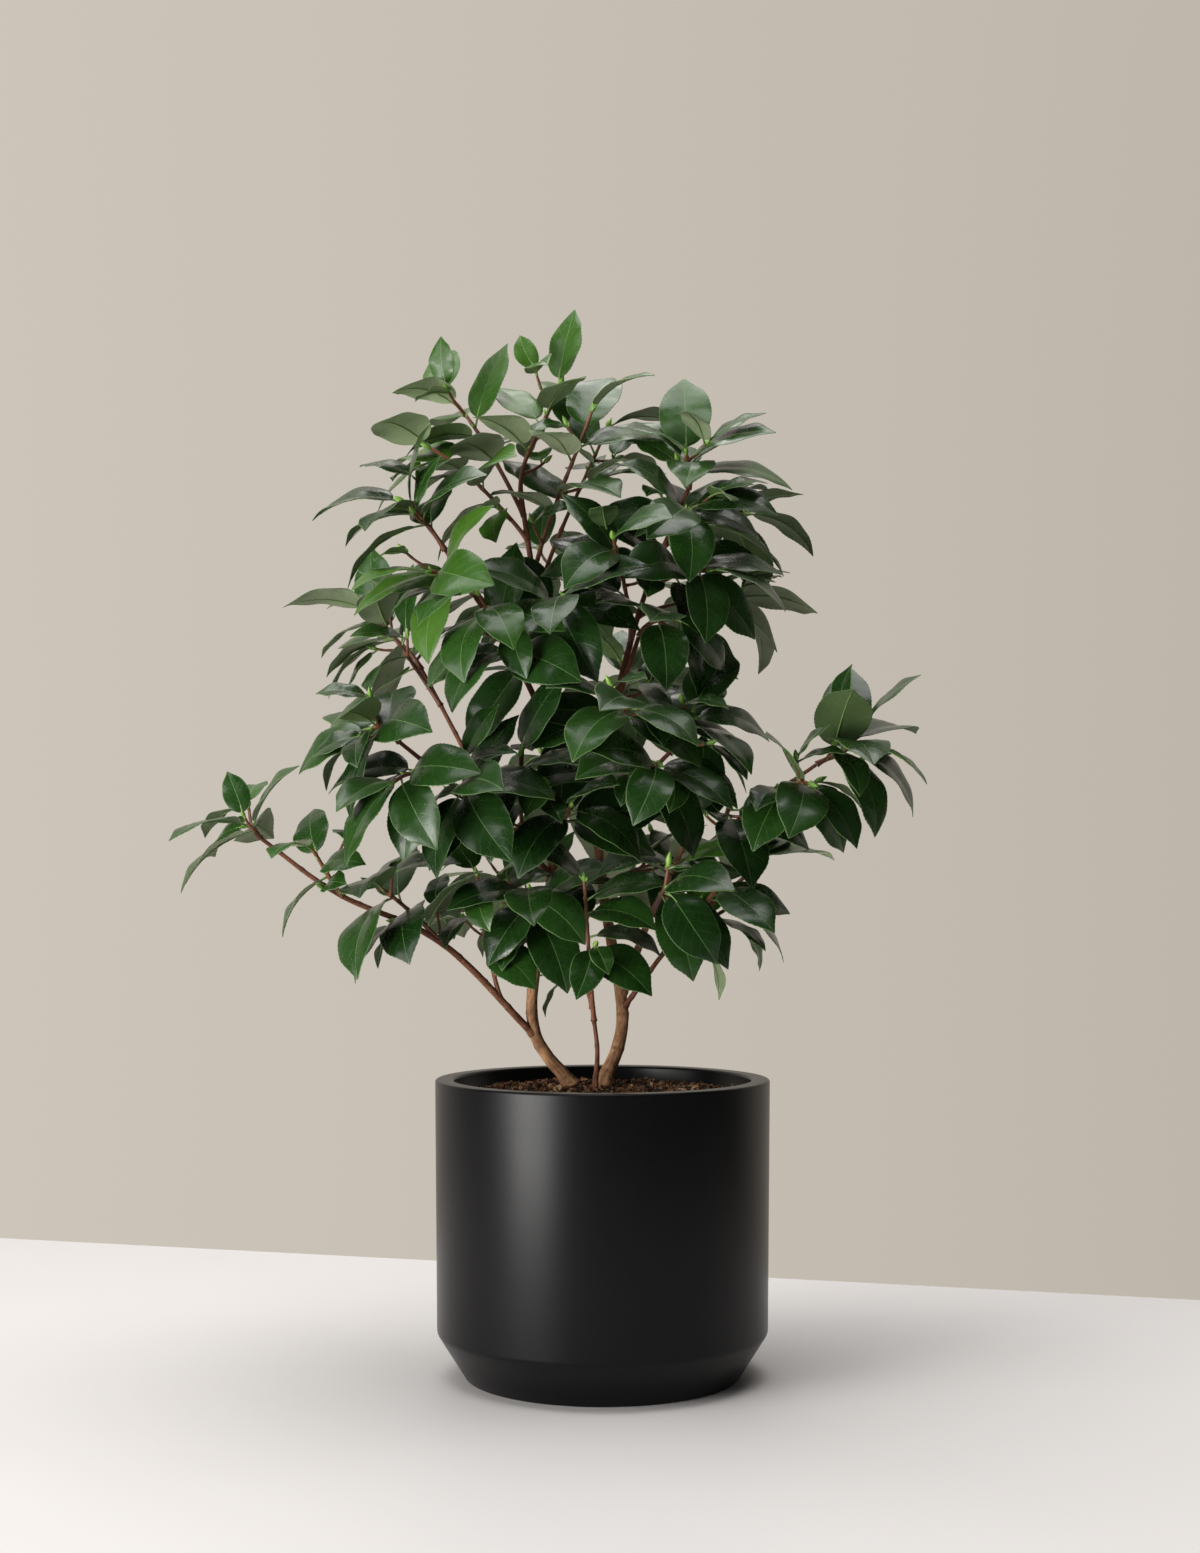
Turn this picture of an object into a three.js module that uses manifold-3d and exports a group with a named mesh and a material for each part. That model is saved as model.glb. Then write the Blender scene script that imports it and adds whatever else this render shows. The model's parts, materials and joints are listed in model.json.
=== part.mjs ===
// Camellia shrub in a round pot: the pot, its soil, three woody stems, the boughs they carry and
// the leafy sprays that grow on from the boughs. Millimetres, +Z up, origin at the middle of the
// pot's flat underside. Every piece is one closed solid, and neighbours keep a small gap.

import * as THREE from 'three';
import { mergeVertices } from 'three/addons/utils/BufferGeometryUtils.js';
import Module from 'manifold-3d';

const wasm = await Module();
wasm.setup();

const vec = (x, y, z) => new THREE.Vector3(x, y, z);
const UP = vec(0, 0, 1);
const GAP = 0.3; // between neighbouring pieces

// ---- driving sizes -------------------------------------------------------------------------

const POT = {
  rim: 130, // outer radius at the top
  wall: 14.5,
  height: 230,
  shoulder: 128.5, // outer radius where the slanted foot begins
  shoulderHeight: 35,
  foot: 106.5, // radius of the underside
  floor: 8,
  round: 1.5, // rounding of rim and foot
  sides: 44,
};
const SOIL = { level: 220, edgeLevel: 218, flat: 70 }; // flat round the stems, then a little lower

// Stems and boughs. A limb starts on its parent's centre line at a share of that parent's length
// and runs smoothly through its points; foot and tip are its radii there.
const LIMBS = [
  {
    name: 'left_stem', foot: 5.4, tip: 2, flare: 2.6, taper: 1, sides: 7, steps: 18,
    points: [[-25, 36], [-56, 33, 275], [-40, 27, 390], [-32, 23, 470], [-48, 25, 580], [-64, 20, 686]],
  },
  {
    name: 'right_stem', foot: 5.8, tip: 1.6, flare: 2.6, taper: 1.15, sides: 7, steps: 18,
    points: [[0, 42], [16, 41, 275], [0, 38, 380], [-2, 38, 465], [30, 31, 600], [68, 28, 694]],
  },
  {
    name: 'thin_stem', foot: 2, tip: 1.6, flare: 0.8, taper: 1, sides: 5, steps: 5,
    points: [[-6, 22], [-4, 20, 250], [-8, 18, 283]],
  },
  {
    name: 'low_left_bough', parent: 'left_stem', share: 0.1, foot: 3, tip: 1.5, steps: 13,
    points: [[-125, 0, 335], [-205, -14, 374], [-262, -22, 416]],
  },
  {
    name: 'mid_left_bough', parent: 'left_stem', share: 0.37, foot: 2.6, tip: 1.5, steps: 9,
    points: [[-70, 5, 420], [-153, -52, 488]],
  },
  {
    name: 'rear_left_bough', parent: 'left_stem', share: 0.4, foot: 2.4, tip: 1.5, steps: 10,
    points: [[-80, 50, 435], [-150, 105, 560]],
  },
  {
    name: 'upper_left_bough', parent: 'left_stem', share: 0.55, foot: 2.8, tip: 1.4, steps: 10,
    points: [[-62, 0, 545], [-120, -30, 636]],
  },
  {
    name: 'cross_bough', parent: 'left_stem', share: 0.46, foot: 2.6, tip: 1.7, steps: 9,
    points: [[-8, 0, 470], [28, -16, 572]],
  },
  {
    name: 'right_bough', parent: 'right_stem', share: 0.41, foot: 2.4, tip: 1.5, steps: 6,
    points: [[20, 10, 450], [55, -16, 486]],
  },
  {
    name: 'long_right_bough', parent: 'right_stem', share: 0.15, foot: 3.2, tip: 1.4, steps: 13,
    points: [[48, 22, 375], [105, 8, 430], [166, -5, 474]],
  },
  {
    name: 'low_right_bough', parent: 'right_stem', share: 0.13, foot: 2.2, tip: 1.3, steps: 10,
    points: [[60, 0, 342], [120, -20, 396]],
  },
];

// Sprays: [name, parent, share, shoot tip, bow, leaves, leaf length, turn, side twigs, seed].
// A share of 1 grows on from the parent's tip. Bow lifts the shoot before its tip, so a positive
// one ends arching down. Turn is the compass angle of the lowest leaf round the shoot.
const SPRAYS = [
  ['top_shoot', 'left_stem', 1, [-34, 22, 774], 0, 6, 72, 60, 0, 1],
  ['top_left_shoot', 'left_stem', 0.97, [-124, 36, 772], 14, 7, 78, 300, 0, 2],
  ['left_crown', 'left_stem', 0.93, [-134, -6, 720], 10, 7, 80, 170, 0, 3],
  ['top_middle_shoot', 'left_stem', 0.87, [-8, -10, 748], 0, 7, 78, 40, 0, 4],
  ['top_rear_shoot', 'left_stem', 0.83, [4, 64, 752], 0, 6, 74, 200, 0, 5],
  ['right_crown', 'right_stem', 1, [66, 18, 720], 4, 8, 82, 270, 0, 6],
  ['right_shoulder', 'right_stem', 0.93, [66, -28, 668], 6, 7, 76, 330, 0, 7],
  ['right_shoulder_rear', 'right_stem', 0.9, [116, 80, 684], 6, 7, 80, 0, 0, 8],
  ['right_flank', 'right_stem', 0.82, [80, -26, 622], 8, 8, 80, 40, 0, 9],
  ['right_flank_rear', 'right_stem', 0.78, [112, 76, 612], 8, 7, 80, 100, 0, 10],
  ['right_lower_flank', 'cross_bough', 1, [58, -42, 584], 4, 6, 76, 20, 0, 11],
  ['centre_front_high', 'right_stem', 0.74, [8, -62, 640], 6, 8, 76, 45, 0, 12],
  ['centre_front', 'left_stem', 0.76, [-30, -64, 596], 6, 7, 76, 0, 0, 13],
  ['centre_front_low', 'cross_bough', 0.5, [22, -88, 512], 6, 6, 76, 60, 0, 14],
  ['upper_left_tip', 'upper_left_bough', 1, [-150, -44, 670], 6, 7, 80, 30, 0, 15],
  ['upper_left_front', 'upper_left_bough', 0.8, [-128, -78, 612], 6, 6, 78, 70, 0, 16],
  ['upper_left_inner', 'upper_left_bough', 0.5, [-92, -76, 596], 4, 7, 76, 20, 0, 17],
  ['inner_left_front', 'left_stem', 0.68, [-76, -60, 556], 6, 7, 82, 30, 0, 18],
  ['rear_left_tip', 'rear_left_bough', 1, [-182, 116, 590], 8, 7, 80, 10, 0, 19],
  ['rear_left_high', 'rear_left_bough', 0.82, [-190, 84, 606], 8, 7, 80, 90, 0, 20],
  ['mid_left_tip', 'mid_left_bough', 1, [-172, -64, 498], 8, 7, 82, 0, 0, 21],
  ['mid_left_outer', 'mid_left_bough', 0.75, [-154, -88, 456], 8, 6, 80, 40, 0, 22],
  ['mid_left_inner', 'mid_left_bough', 0.5, [-106, -76, 452], 6, 6, 78, 20, 0, 23],
  ['inner_left_low', 'mid_left_bough', 0.2, [-62, -54, 478], 4, 6, 76, 20, 0, 24],
  ['far_left_tip', 'low_left_bough', 1, [-272, -24, 426], 4, 5, 78, 60, 0, 25],
  ['far_left_mid', 'low_left_bough', 0.72, [-222, -34, 408], 2, 4, 60, 140, 0, 26],
  ['near_left_spray', 'low_left_bough', 0.34, [-178, -20, 382], 8, 7, 88, 340, 0, 27],
  ['low_left_spray', 'low_left_bough', 0.16, [-98, 2, 388], 0, 5, 66, 30, 0, 28],
  ['low_centre_spray', 'left_stem', 0.26, [-56, -24, 378], 2, 7, 76, 90, 0, 29],
  ['low_front_spray', 'thin_stem', 1, [-34, -8, 336], 0, 4, 60, 90, 0, 30],
  ['thin_stem_spray', 'thin_stem', 0.85, [-14, -34, 384], 0, 7, 70, 0, 0, 31],
  ['middle_left_spray', 'left_stem', 0.42, [-24, -54, 440], 4, 6, 76, 60, 0, 32],
  ['right_bough_tip', 'right_bough', 1, [68, -24, 510], 0, 8, 82, 120, 0, 33],
  ['right_bough_front', 'right_bough', 0.6, [42, -76, 470], 6, 7, 80, 30, 0, 34],
  ['long_right_tip', 'long_right_bough', 1, [196, -10, 494], -8, 9, 84, 20, 0, 35],
  ['long_right_outer', 'long_right_bough', 0.84, [158, -30, 458], 6, 5, 76, 60, 0, 36],
  ['long_right_mid', 'long_right_bough', 0.62, [100, -22, 448], 4, 6, 78, 20, 0, 37],
  ['long_right_upright', 'long_right_bough', 0.38, [70, -10, 430], 0, 6, 78, 70, 0, 38],
  ['long_right_front', 'long_right_bough', 0.3, [48, -66, 378], 4, 6, 80, 20, 0, 39],
  ['low_right_tip', 'low_right_bough', 1, [120, -22, 408], -2, 5, 74, 40, 0, 40],
  ['low_right_mid', 'low_right_bough', 0.62, [88, -44, 378], 4, 5, 78, 60, 0, 41],
  ['low_right_low', 'low_right_bough', 0.4, [98, 10, 362], 2, 4, 64, 200, 0, 42],
  ['rear_low_left', 'left_stem', 0.3, [-90, 130, 386], 6, 7, 78, 0, 0, 43],
  ['rear_middle', 'left_stem', 0.47, [-36, 150, 470], 6, 8, 78, 0, 1, 44],
  ['rear_high_left', 'left_stem', 0.72, [-80, 130, 640], 6, 8, 78, 0, 1, 45],
  ['rear_low_right', 'right_stem', 0.32, [62, 142, 402], 6, 8, 78, 0, 1, 46],
  ['rear_high_right', 'right_stem', 0.6, [28, 150, 560], 6, 8, 78, 0, 1, 47],
].map(([name, parent, share, to, bow, leaves, length, turn, twigs, seed]) => (
  { name, parent, share, to: vec(...to), bow, leaves, length, turn, twigs, seed }));

// How a spray grows. Angles are in degrees, and pairs run from the first value to the second.
const SHOOT = {
  foot: 2,
  tip: 1.6,
  lean: 0.35, // how much of its parent's direction it starts with
  sides: 3,
  steps: 3,
};
const TWIG = {
  length: 44,
  foot: 1.8,
  tip: 1.5,
  open: 55, // between twig and shoot
  rise: 0.12, // of its length
  first: 0.35, // share of the shoot where the first one springs
  apart: 0.3,
  turn: 90, // from the shoot's lowest leaf
  leaves: 4,
  leafTurn: 60, // of the lowest leaf, from the side that the twig springs from
  steps: 2,
};
const LEAF = {
  golden: 137.5, // from one leaf to the next round a shoot
  places: [0.3, 0.97], // shares of the shoot where the lowest and the highest side leaf spring
  crowding: 0.8, // under 1 brings the leaves closer together towards the tip
  lastPlace: 0.99,
  open: [78, 44], // between leaf and shoot, low on it and near its tip
  openLast: 26,
  openSpread: 14,
  turnSpread: 24,
  lift: [-0.12, 0.34], // how far a leaf heads down low on the plant, or up at its top
  flatten: 0.6, // leaves spread sideways more than up and down
  droop: [70, 64], // that a level leaf bends over its length, low on the plant and at its top
  droopUpright: 0.35, // share of that bend in an upright leaf
  droopSpread: [0.75, 1.2],
  lengthSpread: [0.86, 1.06],
  lengthLast: 0.94,
  width: 0.6, // of the blade's length
  petiole: 0.12, // share of the whole leaf
  root: 0.8, // half width where it springs from the shoot
  widest: 0.42, // share of the leaf where it is widest
  narrowing: [0.76, 0.74], // a share of the leaf nearer its tip, and its part of the width there
  thick: 1.9, // along the midrib's keel
  roll: 18,
  facing: 0.45, // how much its upper face follows the shoot
  headsOut: 0.2, // how much it heads out of the crown
  facesOut: [0.6, 0.1], // how much it faces out of the crown, lying level and standing upright
  towardsLight: [0.15, 1.1], // how much it faces the light, lying level and standing upright
  tries: [0, 26, -26, 52, -52, 90], // turns round the shoot until the leaf fits
  steps: 16,
};
// Room that a leaf needs round it: to other pieces, and blade to blade within its own spray.
const ROOM = { others: 0.8, blades: 0.4, bladeFrom: 0.2, bladeFoot: 4 };
// The crown's middle, and the heights between which the leaves change their bearing.
const CROWN = { middle: [-10, 30], low: 310, high: 740 };
const LIGHT = vec(-0.35, -0.75, 0.55).normalize();

// ---- closed skins --------------------------------------------------------------------------

// Joins rings of equal size into one closed skin. The start is closed flat; so is the end, or
// it runs out to a point.
function skin(rings, point) {
  const sides = rings[0].length;
  const corners = rings.flat();
  const faces = [];
  for (let ring = 0; ring + 1 < rings.length; ring += 1) {
    for (let side = 0; side < sides; side += 1) {
      const here = ring * sides + side;
      const next = ring * sides + ((side + 1) % sides);
      faces.push(here, next, next + sides, here, next + sides, here + sides);
    }
  }
  const last = (rings.length - 1) * sides;
  for (let side = 1; side + 1 < sides; side += 1) faces.push(0, side + 1, side);
  if (point) {
    corners.push(point);
    for (let side = 0; side < sides; side += 1) {
      faces.push(last + side, last + ((side + 1) % sides), corners.length - 1);
    }
  } else {
    for (let side = 1; side + 1 < sides; side += 1) faces.push(last, last + side, last + side + 1);
  }
  const geometry = new THREE.BufferGeometry();
  const numbers = corners.flatMap((corner) => corner.toArray());
  geometry.setAttribute('position', new THREE.Float32BufferAttribute(numbers, 3));
  geometry.setIndex(faces);
  return geometry;
}

function solid(geometry) {
  const mesh = new wasm.Mesh({
    numProp: 3,
    vertProperties: Float32Array.from(geometry.attributes.position.array),
    triVerts: Uint32Array.from(geometry.index.array),
  });
  return new wasm.Manifold(mesh);
}

function geometryOf(body) {
  const mesh = body.getMesh();
  const geometry = new THREE.BufferGeometry();
  geometry.setAttribute('position', new THREE.BufferAttribute(mesh.vertProperties, 3));
  geometry.setIndex(new THREE.BufferAttribute(mesh.triVerts, 1));
  return geometry;
}

// The largest of the pieces that a cut or a join leaves, without loose scraps.
function largest(body) {
  const pieces = body.decompose();
  return pieces.reduce((best, piece) => (piece.volume() > best.volume() ? piece : best));
}

// ---- paths ---------------------------------------------------------------------------------

// A point on the smooth curve through the points, at a share of the way along their chords.
function pointAlong(points, share) {
  const lengths = points.slice(1).map((point, index) => point.distanceTo(points[index]));
  let left = share * lengths.reduce((sum, length) => sum + length, 0);
  let span = 0;
  while (span < lengths.length - 1 && left > lengths[span]) {
    left -= lengths[span];
    span += 1;
  }
  const t = left / lengths[span];
  const b = points[span];
  const c = points[span + 1];
  const a = points[span - 1] ?? b.clone().multiplyScalar(2).sub(c);
  const d = points[span + 2] ?? c.clone().multiplyScalar(2).sub(b);
  const blend = (p, q, r, s) => 0.5 * (2 * q + (r - p) * t
    + (2 * p - 5 * q + 4 * r - s) * t * t + (3 * q - p - 3 * r + s) * t * t * t);
  return vec(blend(a.x, b.x, c.x, d.x), blend(a.y, b.y, c.y, d.y), blend(a.z, b.z, c.z, d.z));
}

const headingAlong = (points, share) => {
  const step = 0.01;
  const ahead = pointAlong(points, Math.min(1, share + step));
  return ahead.sub(pointAlong(points, Math.max(0, share - step))).normalize();
};

// The part of a direction that is square to an axis, at unit length.
const squareTo = (direction, axis) => (
  direction.clone().addScaledVector(axis, -direction.dot(axis)).normalize());

// Rings round a path, each square to it; the first can be given a plane of its own.
function sweep(path, radiusAt, sides, startAxis) {
  const axes = path.map((point, index) => {
    if (index === 0 && startAxis) return startAxis.clone();
    const before = path[Math.max(0, index - 1)];
    const after = path[Math.min(path.length - 1, index + 1)];
    return after.clone().sub(before).normalize();
  });
  let across = squareTo(Math.abs(axes[0].z) < 0.8 ? UP : vec(1, 0, 0), axes[0]);
  return path.map((point, index) => {
    across = squareTo(across, axes[index]);
    const other = axes[index].clone().cross(across);
    const radius = radiusAt(index / (path.length - 1));
    return Array.from({ length: sides }, (_, side) => {
      const angle = (2 * Math.PI * side) / sides;
      return point.clone().addScaledVector(across, radius * Math.cos(angle))
        .addScaledVector(other, radius * Math.sin(angle));
    });
  });
}

// ---- stems and boughs ----------------------------------------------------------------------

const FLARE_REACH = 12; // height in which a stem's root flare dies away
const FOOT_CROWDING = 1.25; // over 1 brings the rings closer together at a stem's flared foot
const FAT = GAP * 1.2; // how much thicker a limb is where it cuts its neighbours clear

const limbs = new Map(); // name -> { path, body, fat }

function growLimb(row) {
  const { foot, tip, flare = 0, taper = 0.8, sides = 5, steps } = row;
  const parent = limbs.get(row.parent);
  const points = row.points.map(([x, y, z = SOIL.level + GAP]) => vec(x, y, z));
  if (parent) points.unshift(pointAlong(parent.path, row.share));
  const path = Array.from({ length: steps + 1 }, (_, step) => {
    const share = step / steps;
    return pointAlong(points, parent ? share : share ** FOOT_CROWDING);
  });
  const spans = path.slice(1).map((point, index) => point.distanceTo(path[index]));
  const length = spans.reduce((sum, span) => sum + span, 0);
  const radiusAt = (share) => tip + (foot - tip) * (1 - share) ** taper
    + flare * Math.exp((-share * length) / FLARE_REACH);
  const make = (extra) => {
    const rings = sweep(path, (share) => radiusAt(share) + extra, sides, parent ? null : UP);
    return solid(skin(rings));
  };
  const body = parent ? largest(make(0).subtract(parent.fat)) : make(0);
  limbs.set(row.name, { path, body, fat: make(FAT) });
}

LIMBS.forEach(growLimb);

// ---- sprays --------------------------------------------------------------------------------

const radians = THREE.MathUtils.degToRad;
const mix = THREE.MathUtils.lerp;

// A repeatable random number from 0 to 1 for one draw of one seed.
function draw(seed, index) {
  const wave = Math.sin(seed * 12.9898 + index * 78.233) * 43758.5453;
  return wave - Math.floor(wave);
}

function bezier(a, b, c, d, steps) {
  const curve = new THREE.CubicBezierCurve3(a, b, c, d);
  return Array.from({ length: steps + 1 }, (_, step) => curve.getPoint(step / steps));
}

// The spray's own shoot: from its parent to its tip, leaving the parent at a slant.
function mainShoot(spray) {
  const parent = limbs.get(spray.parent);
  const end = parent.path.length - 1;
  const atTip = spray.share === 1;
  const heading = atTip
    ? parent.path[end].clone().sub(parent.path[end - 1]).normalize()
    : headingAlong(parent.path, spray.share);
  const start = pointAlong(parent.path, spray.share);
  if (atTip) start.addScaledVector(heading, GAP);
  const reach = spray.to.distanceTo(start);
  const straight = spray.to.clone().sub(start).normalize();
  const slanted = straight.clone().addScaledVector(heading, SHOOT.lean).normalize();
  const second = start.clone().addScaledVector(atTip ? heading : slanted, reach / 3);
  const third = spray.to.clone().addScaledVector(straight, -reach / 3);
  third.z += spray.bow;
  return {
    path: bezier(start, second, third, spray.to, SHOOT.steps),
    foot: SHOOT.foot,
    tip: SHOOT.tip,
    startAxis: atTip ? heading : null,
    leaves: spray.leaves,
    turn: spray.turn,
    order: 0,
  };
}

function sideTwig(spray, shoot, order) {
  const place = TWIG.first + TWIG.apart * order;
  const start = pointAlong(shoot.path, place);
  const axis = headingAlong(shoot.path, place);
  const turn = spray.turn + TWIG.turn + order * LEAF.golden;
  const out = aside(axis, turn);
  const leave = axis.clone().multiplyScalar(Math.cos(radians(TWIG.open)))
    .addScaledVector(out, Math.sin(radians(TWIG.open))).normalize();
  const to = start.clone().addScaledVector(leave, TWIG.length);
  to.z += TWIG.length * TWIG.rise;
  const second = start.clone().addScaledVector(leave, TWIG.length / 3);
  const third = start.clone().addScaledVector(leave, (TWIG.length * 2) / 3);
  return {
    path: bezier(start, second, third, to, TWIG.steps),
    foot: TWIG.foot,
    tip: TWIG.tip,
    startAxis: null,
    leaves: TWIG.leaves,
    turn: turn + TWIG.leafTurn,
    order: order + 1,
  };
}

// The direction square to an axis, turned from straight up, with its rise and fall flattened.
function aside(axis, turn) {
  const over = squareTo(Math.abs(axis.z) < 0.95 ? UP : vec(0, -1, 0), axis);
  const side = axis.clone().cross(over);
  const flat = mix(1, LEAF.flatten, Math.sqrt(1 - axis.z * axis.z));
  return over.multiplyScalar(flat * Math.cos(radians(turn)))
    .addScaledVector(side, Math.sin(radians(turn))).normalize();
}

// The level direction that leads out of the crown from a point in it.
function outOfCrown(point) {
  const [x, y] = CROWN.middle;
  return vec(point.x - x, point.y - y, 0).normalize();
}

// One leaf of a shoot: where it springs, how it heads off, which way its upper face looks.
function leafOf(spray, shoot, index, turned) {
  const chance = (what) => draw(spray.seed, shoot.order * 100 + index * 7 + what);
  const spread = (what) => chance(what) - 0.5;
  const last = index === shoot.leaves - 1;
  const along = (index + 0.5) / shoot.leaves;
  const place = last ? LEAF.lastPlace : mix(...LEAF.places, along ** LEAF.crowding);
  const open = last ? LEAF.openLast : mix(...LEAF.open, along) + LEAF.openSpread * spread(1);
  const turn = shoot.turn + index * LEAF.golden + LEAF.turnSpread * spread(2) + turned;
  const axis = headingAlong(shoot.path, place);
  const root = pointAlong(shoot.path, place);
  const heading = axis.clone().multiplyScalar(Math.cos(radians(open)))
    .addScaledVector(aside(axis, turn), Math.sin(radians(open)));
  const height = (root.z - CROWN.low) / (CROWN.high - CROWN.low);
  const out = outOfCrown(root);
  if (!last) heading.addScaledVector(out, LEAF.headsOut).addScaledVector(UP, mix(...LEAF.lift, height));
  heading.normalize();
  const face = UP.clone().addScaledVector(axis, LEAF.facing)
    .addScaledVector(out, mix(...LEAF.facesOut, Math.abs(heading.z)))
    .addScaledVector(LIGHT, mix(...LEAF.towardsLight, Math.abs(heading.z)));
  const upper = squareTo(face, heading);
  upper.applyAxisAngle(heading, radians(LEAF.roll) * 2 * spread(3));
  const level = Math.sqrt(Math.max(0, 1 - heading.z * heading.z));
  const droop = mix(...LEAF.droop, height) * mix(...LEAF.droopSpread, chance(5));
  return {
    root,
    heading,
    upper,
    length: spray.length * mix(...LEAF.lengthSpread, chance(4)) * (last ? LEAF.lengthLast : 1),
    droop: radians(droop) * mix(LEAF.droopUpright, 1, level),
  };
}

// A point on the leaf's curved midrib, with the upward direction of the blade there.
function midrib(leaf, share) {
  const turnedTo = (angle) => ({
    ahead: leaf.heading.clone().multiplyScalar(Math.cos(angle))
      .addScaledVector(leaf.upper, -Math.sin(angle)),
    rise: leaf.upper.clone().multiplyScalar(Math.cos(angle))
      .addScaledVector(leaf.heading, Math.sin(angle)),
  });
  const spot = leaf.root.clone();
  for (let step = 0; step < LEAF.steps; step += 1) {
    const { ahead } = turnedTo((leaf.droop * share * (step + 0.5)) / LEAF.steps);
    spot.addScaledVector(ahead, (leaf.length * share) / LEAF.steps);
  }
  const side = leaf.upper.clone().cross(leaf.heading);
  return { spot, rise: turnedTo(leaf.droop * share).rise, side };
}

// The leaf as a folded blade that swells from its root and runs out to a point. It can be grown
// all round, and started part of the way along.
function leafBody(leaf, grow = 0, from = 0) {
  const widest = (LEAF.width * leaf.length * (1 - LEAF.petiole)) / 2;
  const [nearTip, part] = LEAF.narrowing;
  const stations = [
    [from, from ? ROOM.bladeFoot : LEAF.root],
    [LEAF.widest, widest],
    [nearTip, widest * part],
  ];
  const rings = stations.map(([share, half]) => {
    const { spot, rise, side } = midrib(leaf, share);
    const put = (sideways, upwards) => (
      spot.clone().addScaledVector(side, sideways).addScaledVector(rise, upwards));
    const above = LEAF.thick / 3 + grow;
    return [put(half + grow, above), put(-half - grow, above), put(0, above - LEAF.thick - 2 * grow)];
  });
  return solid(skin(rings, midrib(leaf, 1 + (grow / leaf.length)).spot));
}

const placed = []; // every solid that later leaves have to clear, with its owner and its box

function place(owner, body, blade = null) {
  const { min, max } = body.boundingBox();
  placed.push({ owner, body, blade, box: new THREE.Box3(vec(...min), vec(...max)) });
}

function clashes(owner, whole, blade) {
  const { min, max } = whole.boundingBox();
  const box = new THREE.Box3(vec(...min), vec(...max));
  return placed.some((other) => {
    if (!other.box.intersectsBox(box)) return false;
    if (other.owner !== owner) return !whole.intersect(other.body).isEmpty();
    return other.blade ? !blade.intersect(other.blade).isEmpty() : false;
  });
}

// ---- pot and soil --------------------------------------------------------------------------

function turned(profile) {
  const points = profile.map(([radius, height]) => new THREE.Vector2(radius, height));
  const geometry = new THREE.LatheGeometry(points, POT.sides);
  geometry.rotateX(Math.PI / 2);
  geometry.deleteAttribute('normal');
  geometry.deleteAttribute('uv');
  return solid(mergeVertices(geometry));
}

const inner = POT.rim - POT.wall;
const pot = turned([
  [0, 0], [POT.foot - POT.round, 0], [POT.foot, POT.round],
  [POT.shoulder, POT.shoulderHeight], [POT.rim, POT.height - POT.round],
  [POT.rim - POT.round, POT.height], [inner + POT.round, POT.height],
  [inner, POT.height - POT.round], [inner, POT.shoulderHeight], [POT.foot - POT.wall, POT.floor],
  [0, POT.floor],
]);
const soil = turned([
  [0, POT.floor + GAP], [POT.foot - POT.wall - GAP, POT.floor + GAP],
  [inner - GAP, POT.shoulderHeight + GAP], [inner - GAP, SOIL.edgeLevel], [SOIL.flat, SOIL.level],
  [0, SOIL.level],
]);

// ---- the plant -----------------------------------------------------------------------------

place('pot', pot);
place('soil', soil);
limbs.forEach((limb, name) => place(name, limb.fat));

const shootsOf = new Map();
for (const spray of SPRAYS) {
  const shoot = mainShoot(spray);
  const shoots = [shoot];
  for (let twig = 0; twig < spray.twigs; twig += 1) shoots.push(sideTwig(spray, shoot, twig));
  shootsOf.set(spray.name, shoots);
}

function shootBody(shoot, extra = 0) {
  const radiusAt = (share) => mix(shoot.foot, shoot.tip, share) + extra;
  return solid(skin(sweep(shoot.path, radiusAt, SHOOT.sides, shoot.startAxis)));
}

// Every shoot stands before the first leaf is set, so that leaves clear all of them.
const stalks = new Map();
for (const spray of SPRAYS) {
  const parent = limbs.get(spray.parent);
  const shoots = shootsOf.get(spray.name);
  const stalk = shoots.map((shoot) => shootBody(shoot)).reduce((a, b) => a.add(b));
  stalks.set(spray.name, spray.share === 1 ? stalk : largest(stalk.subtract(parent.fat)));
  shoots.forEach((shoot) => place(spray.name, shootBody(shoot, GAP)));
}

// A leaf that would touch something is turned round its shoot, and left out where no turn fits.
function leavesOf(spray) {
  const bodies = [];
  for (const shoot of shootsOf.get(spray.name)) {
    for (let index = 0; index < shoot.leaves; index += 1) {
      LEAF.tries.some((turn) => {
        const leaf = leafOf(spray, shoot, index, turn);
        const whole = leafBody(leaf, ROOM.others);
        const blade = leafBody(leaf, ROOM.blades, ROOM.bladeFrom);
        if (clashes(spray.name, whole, blade)) return false;
        place(spray.name, whole, blade);
        bodies.push(leafBody(leaf));
        return true;
      });
    }
  }
  return bodies;
}

const bark = new THREE.MeshStandardMaterial({ color: 0x6b4a36, roughness: 0.85, metalness: 0 });
const foliage = new THREE.MeshStandardMaterial({ color: 0x1f4a26, roughness: 0.4, metalness: 0 });
const plastic = new THREE.MeshStandardMaterial({ color: 0x1c1c1e, roughness: 0.6, metalness: 0 });
const earth = new THREE.MeshStandardMaterial({ color: 0x3b2a20, roughness: 1, metalness: 0 });

const shrub = new THREE.Group();

function addPiece(name, body, material) {
  const mesh = new THREE.Mesh(geometryOf(body), material);
  mesh.name = name;
  shrub.add(mesh);
}

addPiece('pot', pot, plastic);
addPiece('soil', soil, earth);
limbs.forEach((limb, name) => addPiece(name, limb.body, bark));
for (const spray of SPRAYS) {
  const leaves = leavesOf(spray);
  const body = leaves.reduce((sum, leaf) => sum.add(leaf), stalks.get(spray.name));
  addPiece(spray.name, largest(body), foliage);
}

export default shrub;
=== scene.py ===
"""The looks of a potted camellia shrub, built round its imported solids.

The growth rule is written out again here, in millimetres, so that every stem, shoot and leaf
stands where its solid does. Meshes are in metres.
"""

import json
import math

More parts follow.
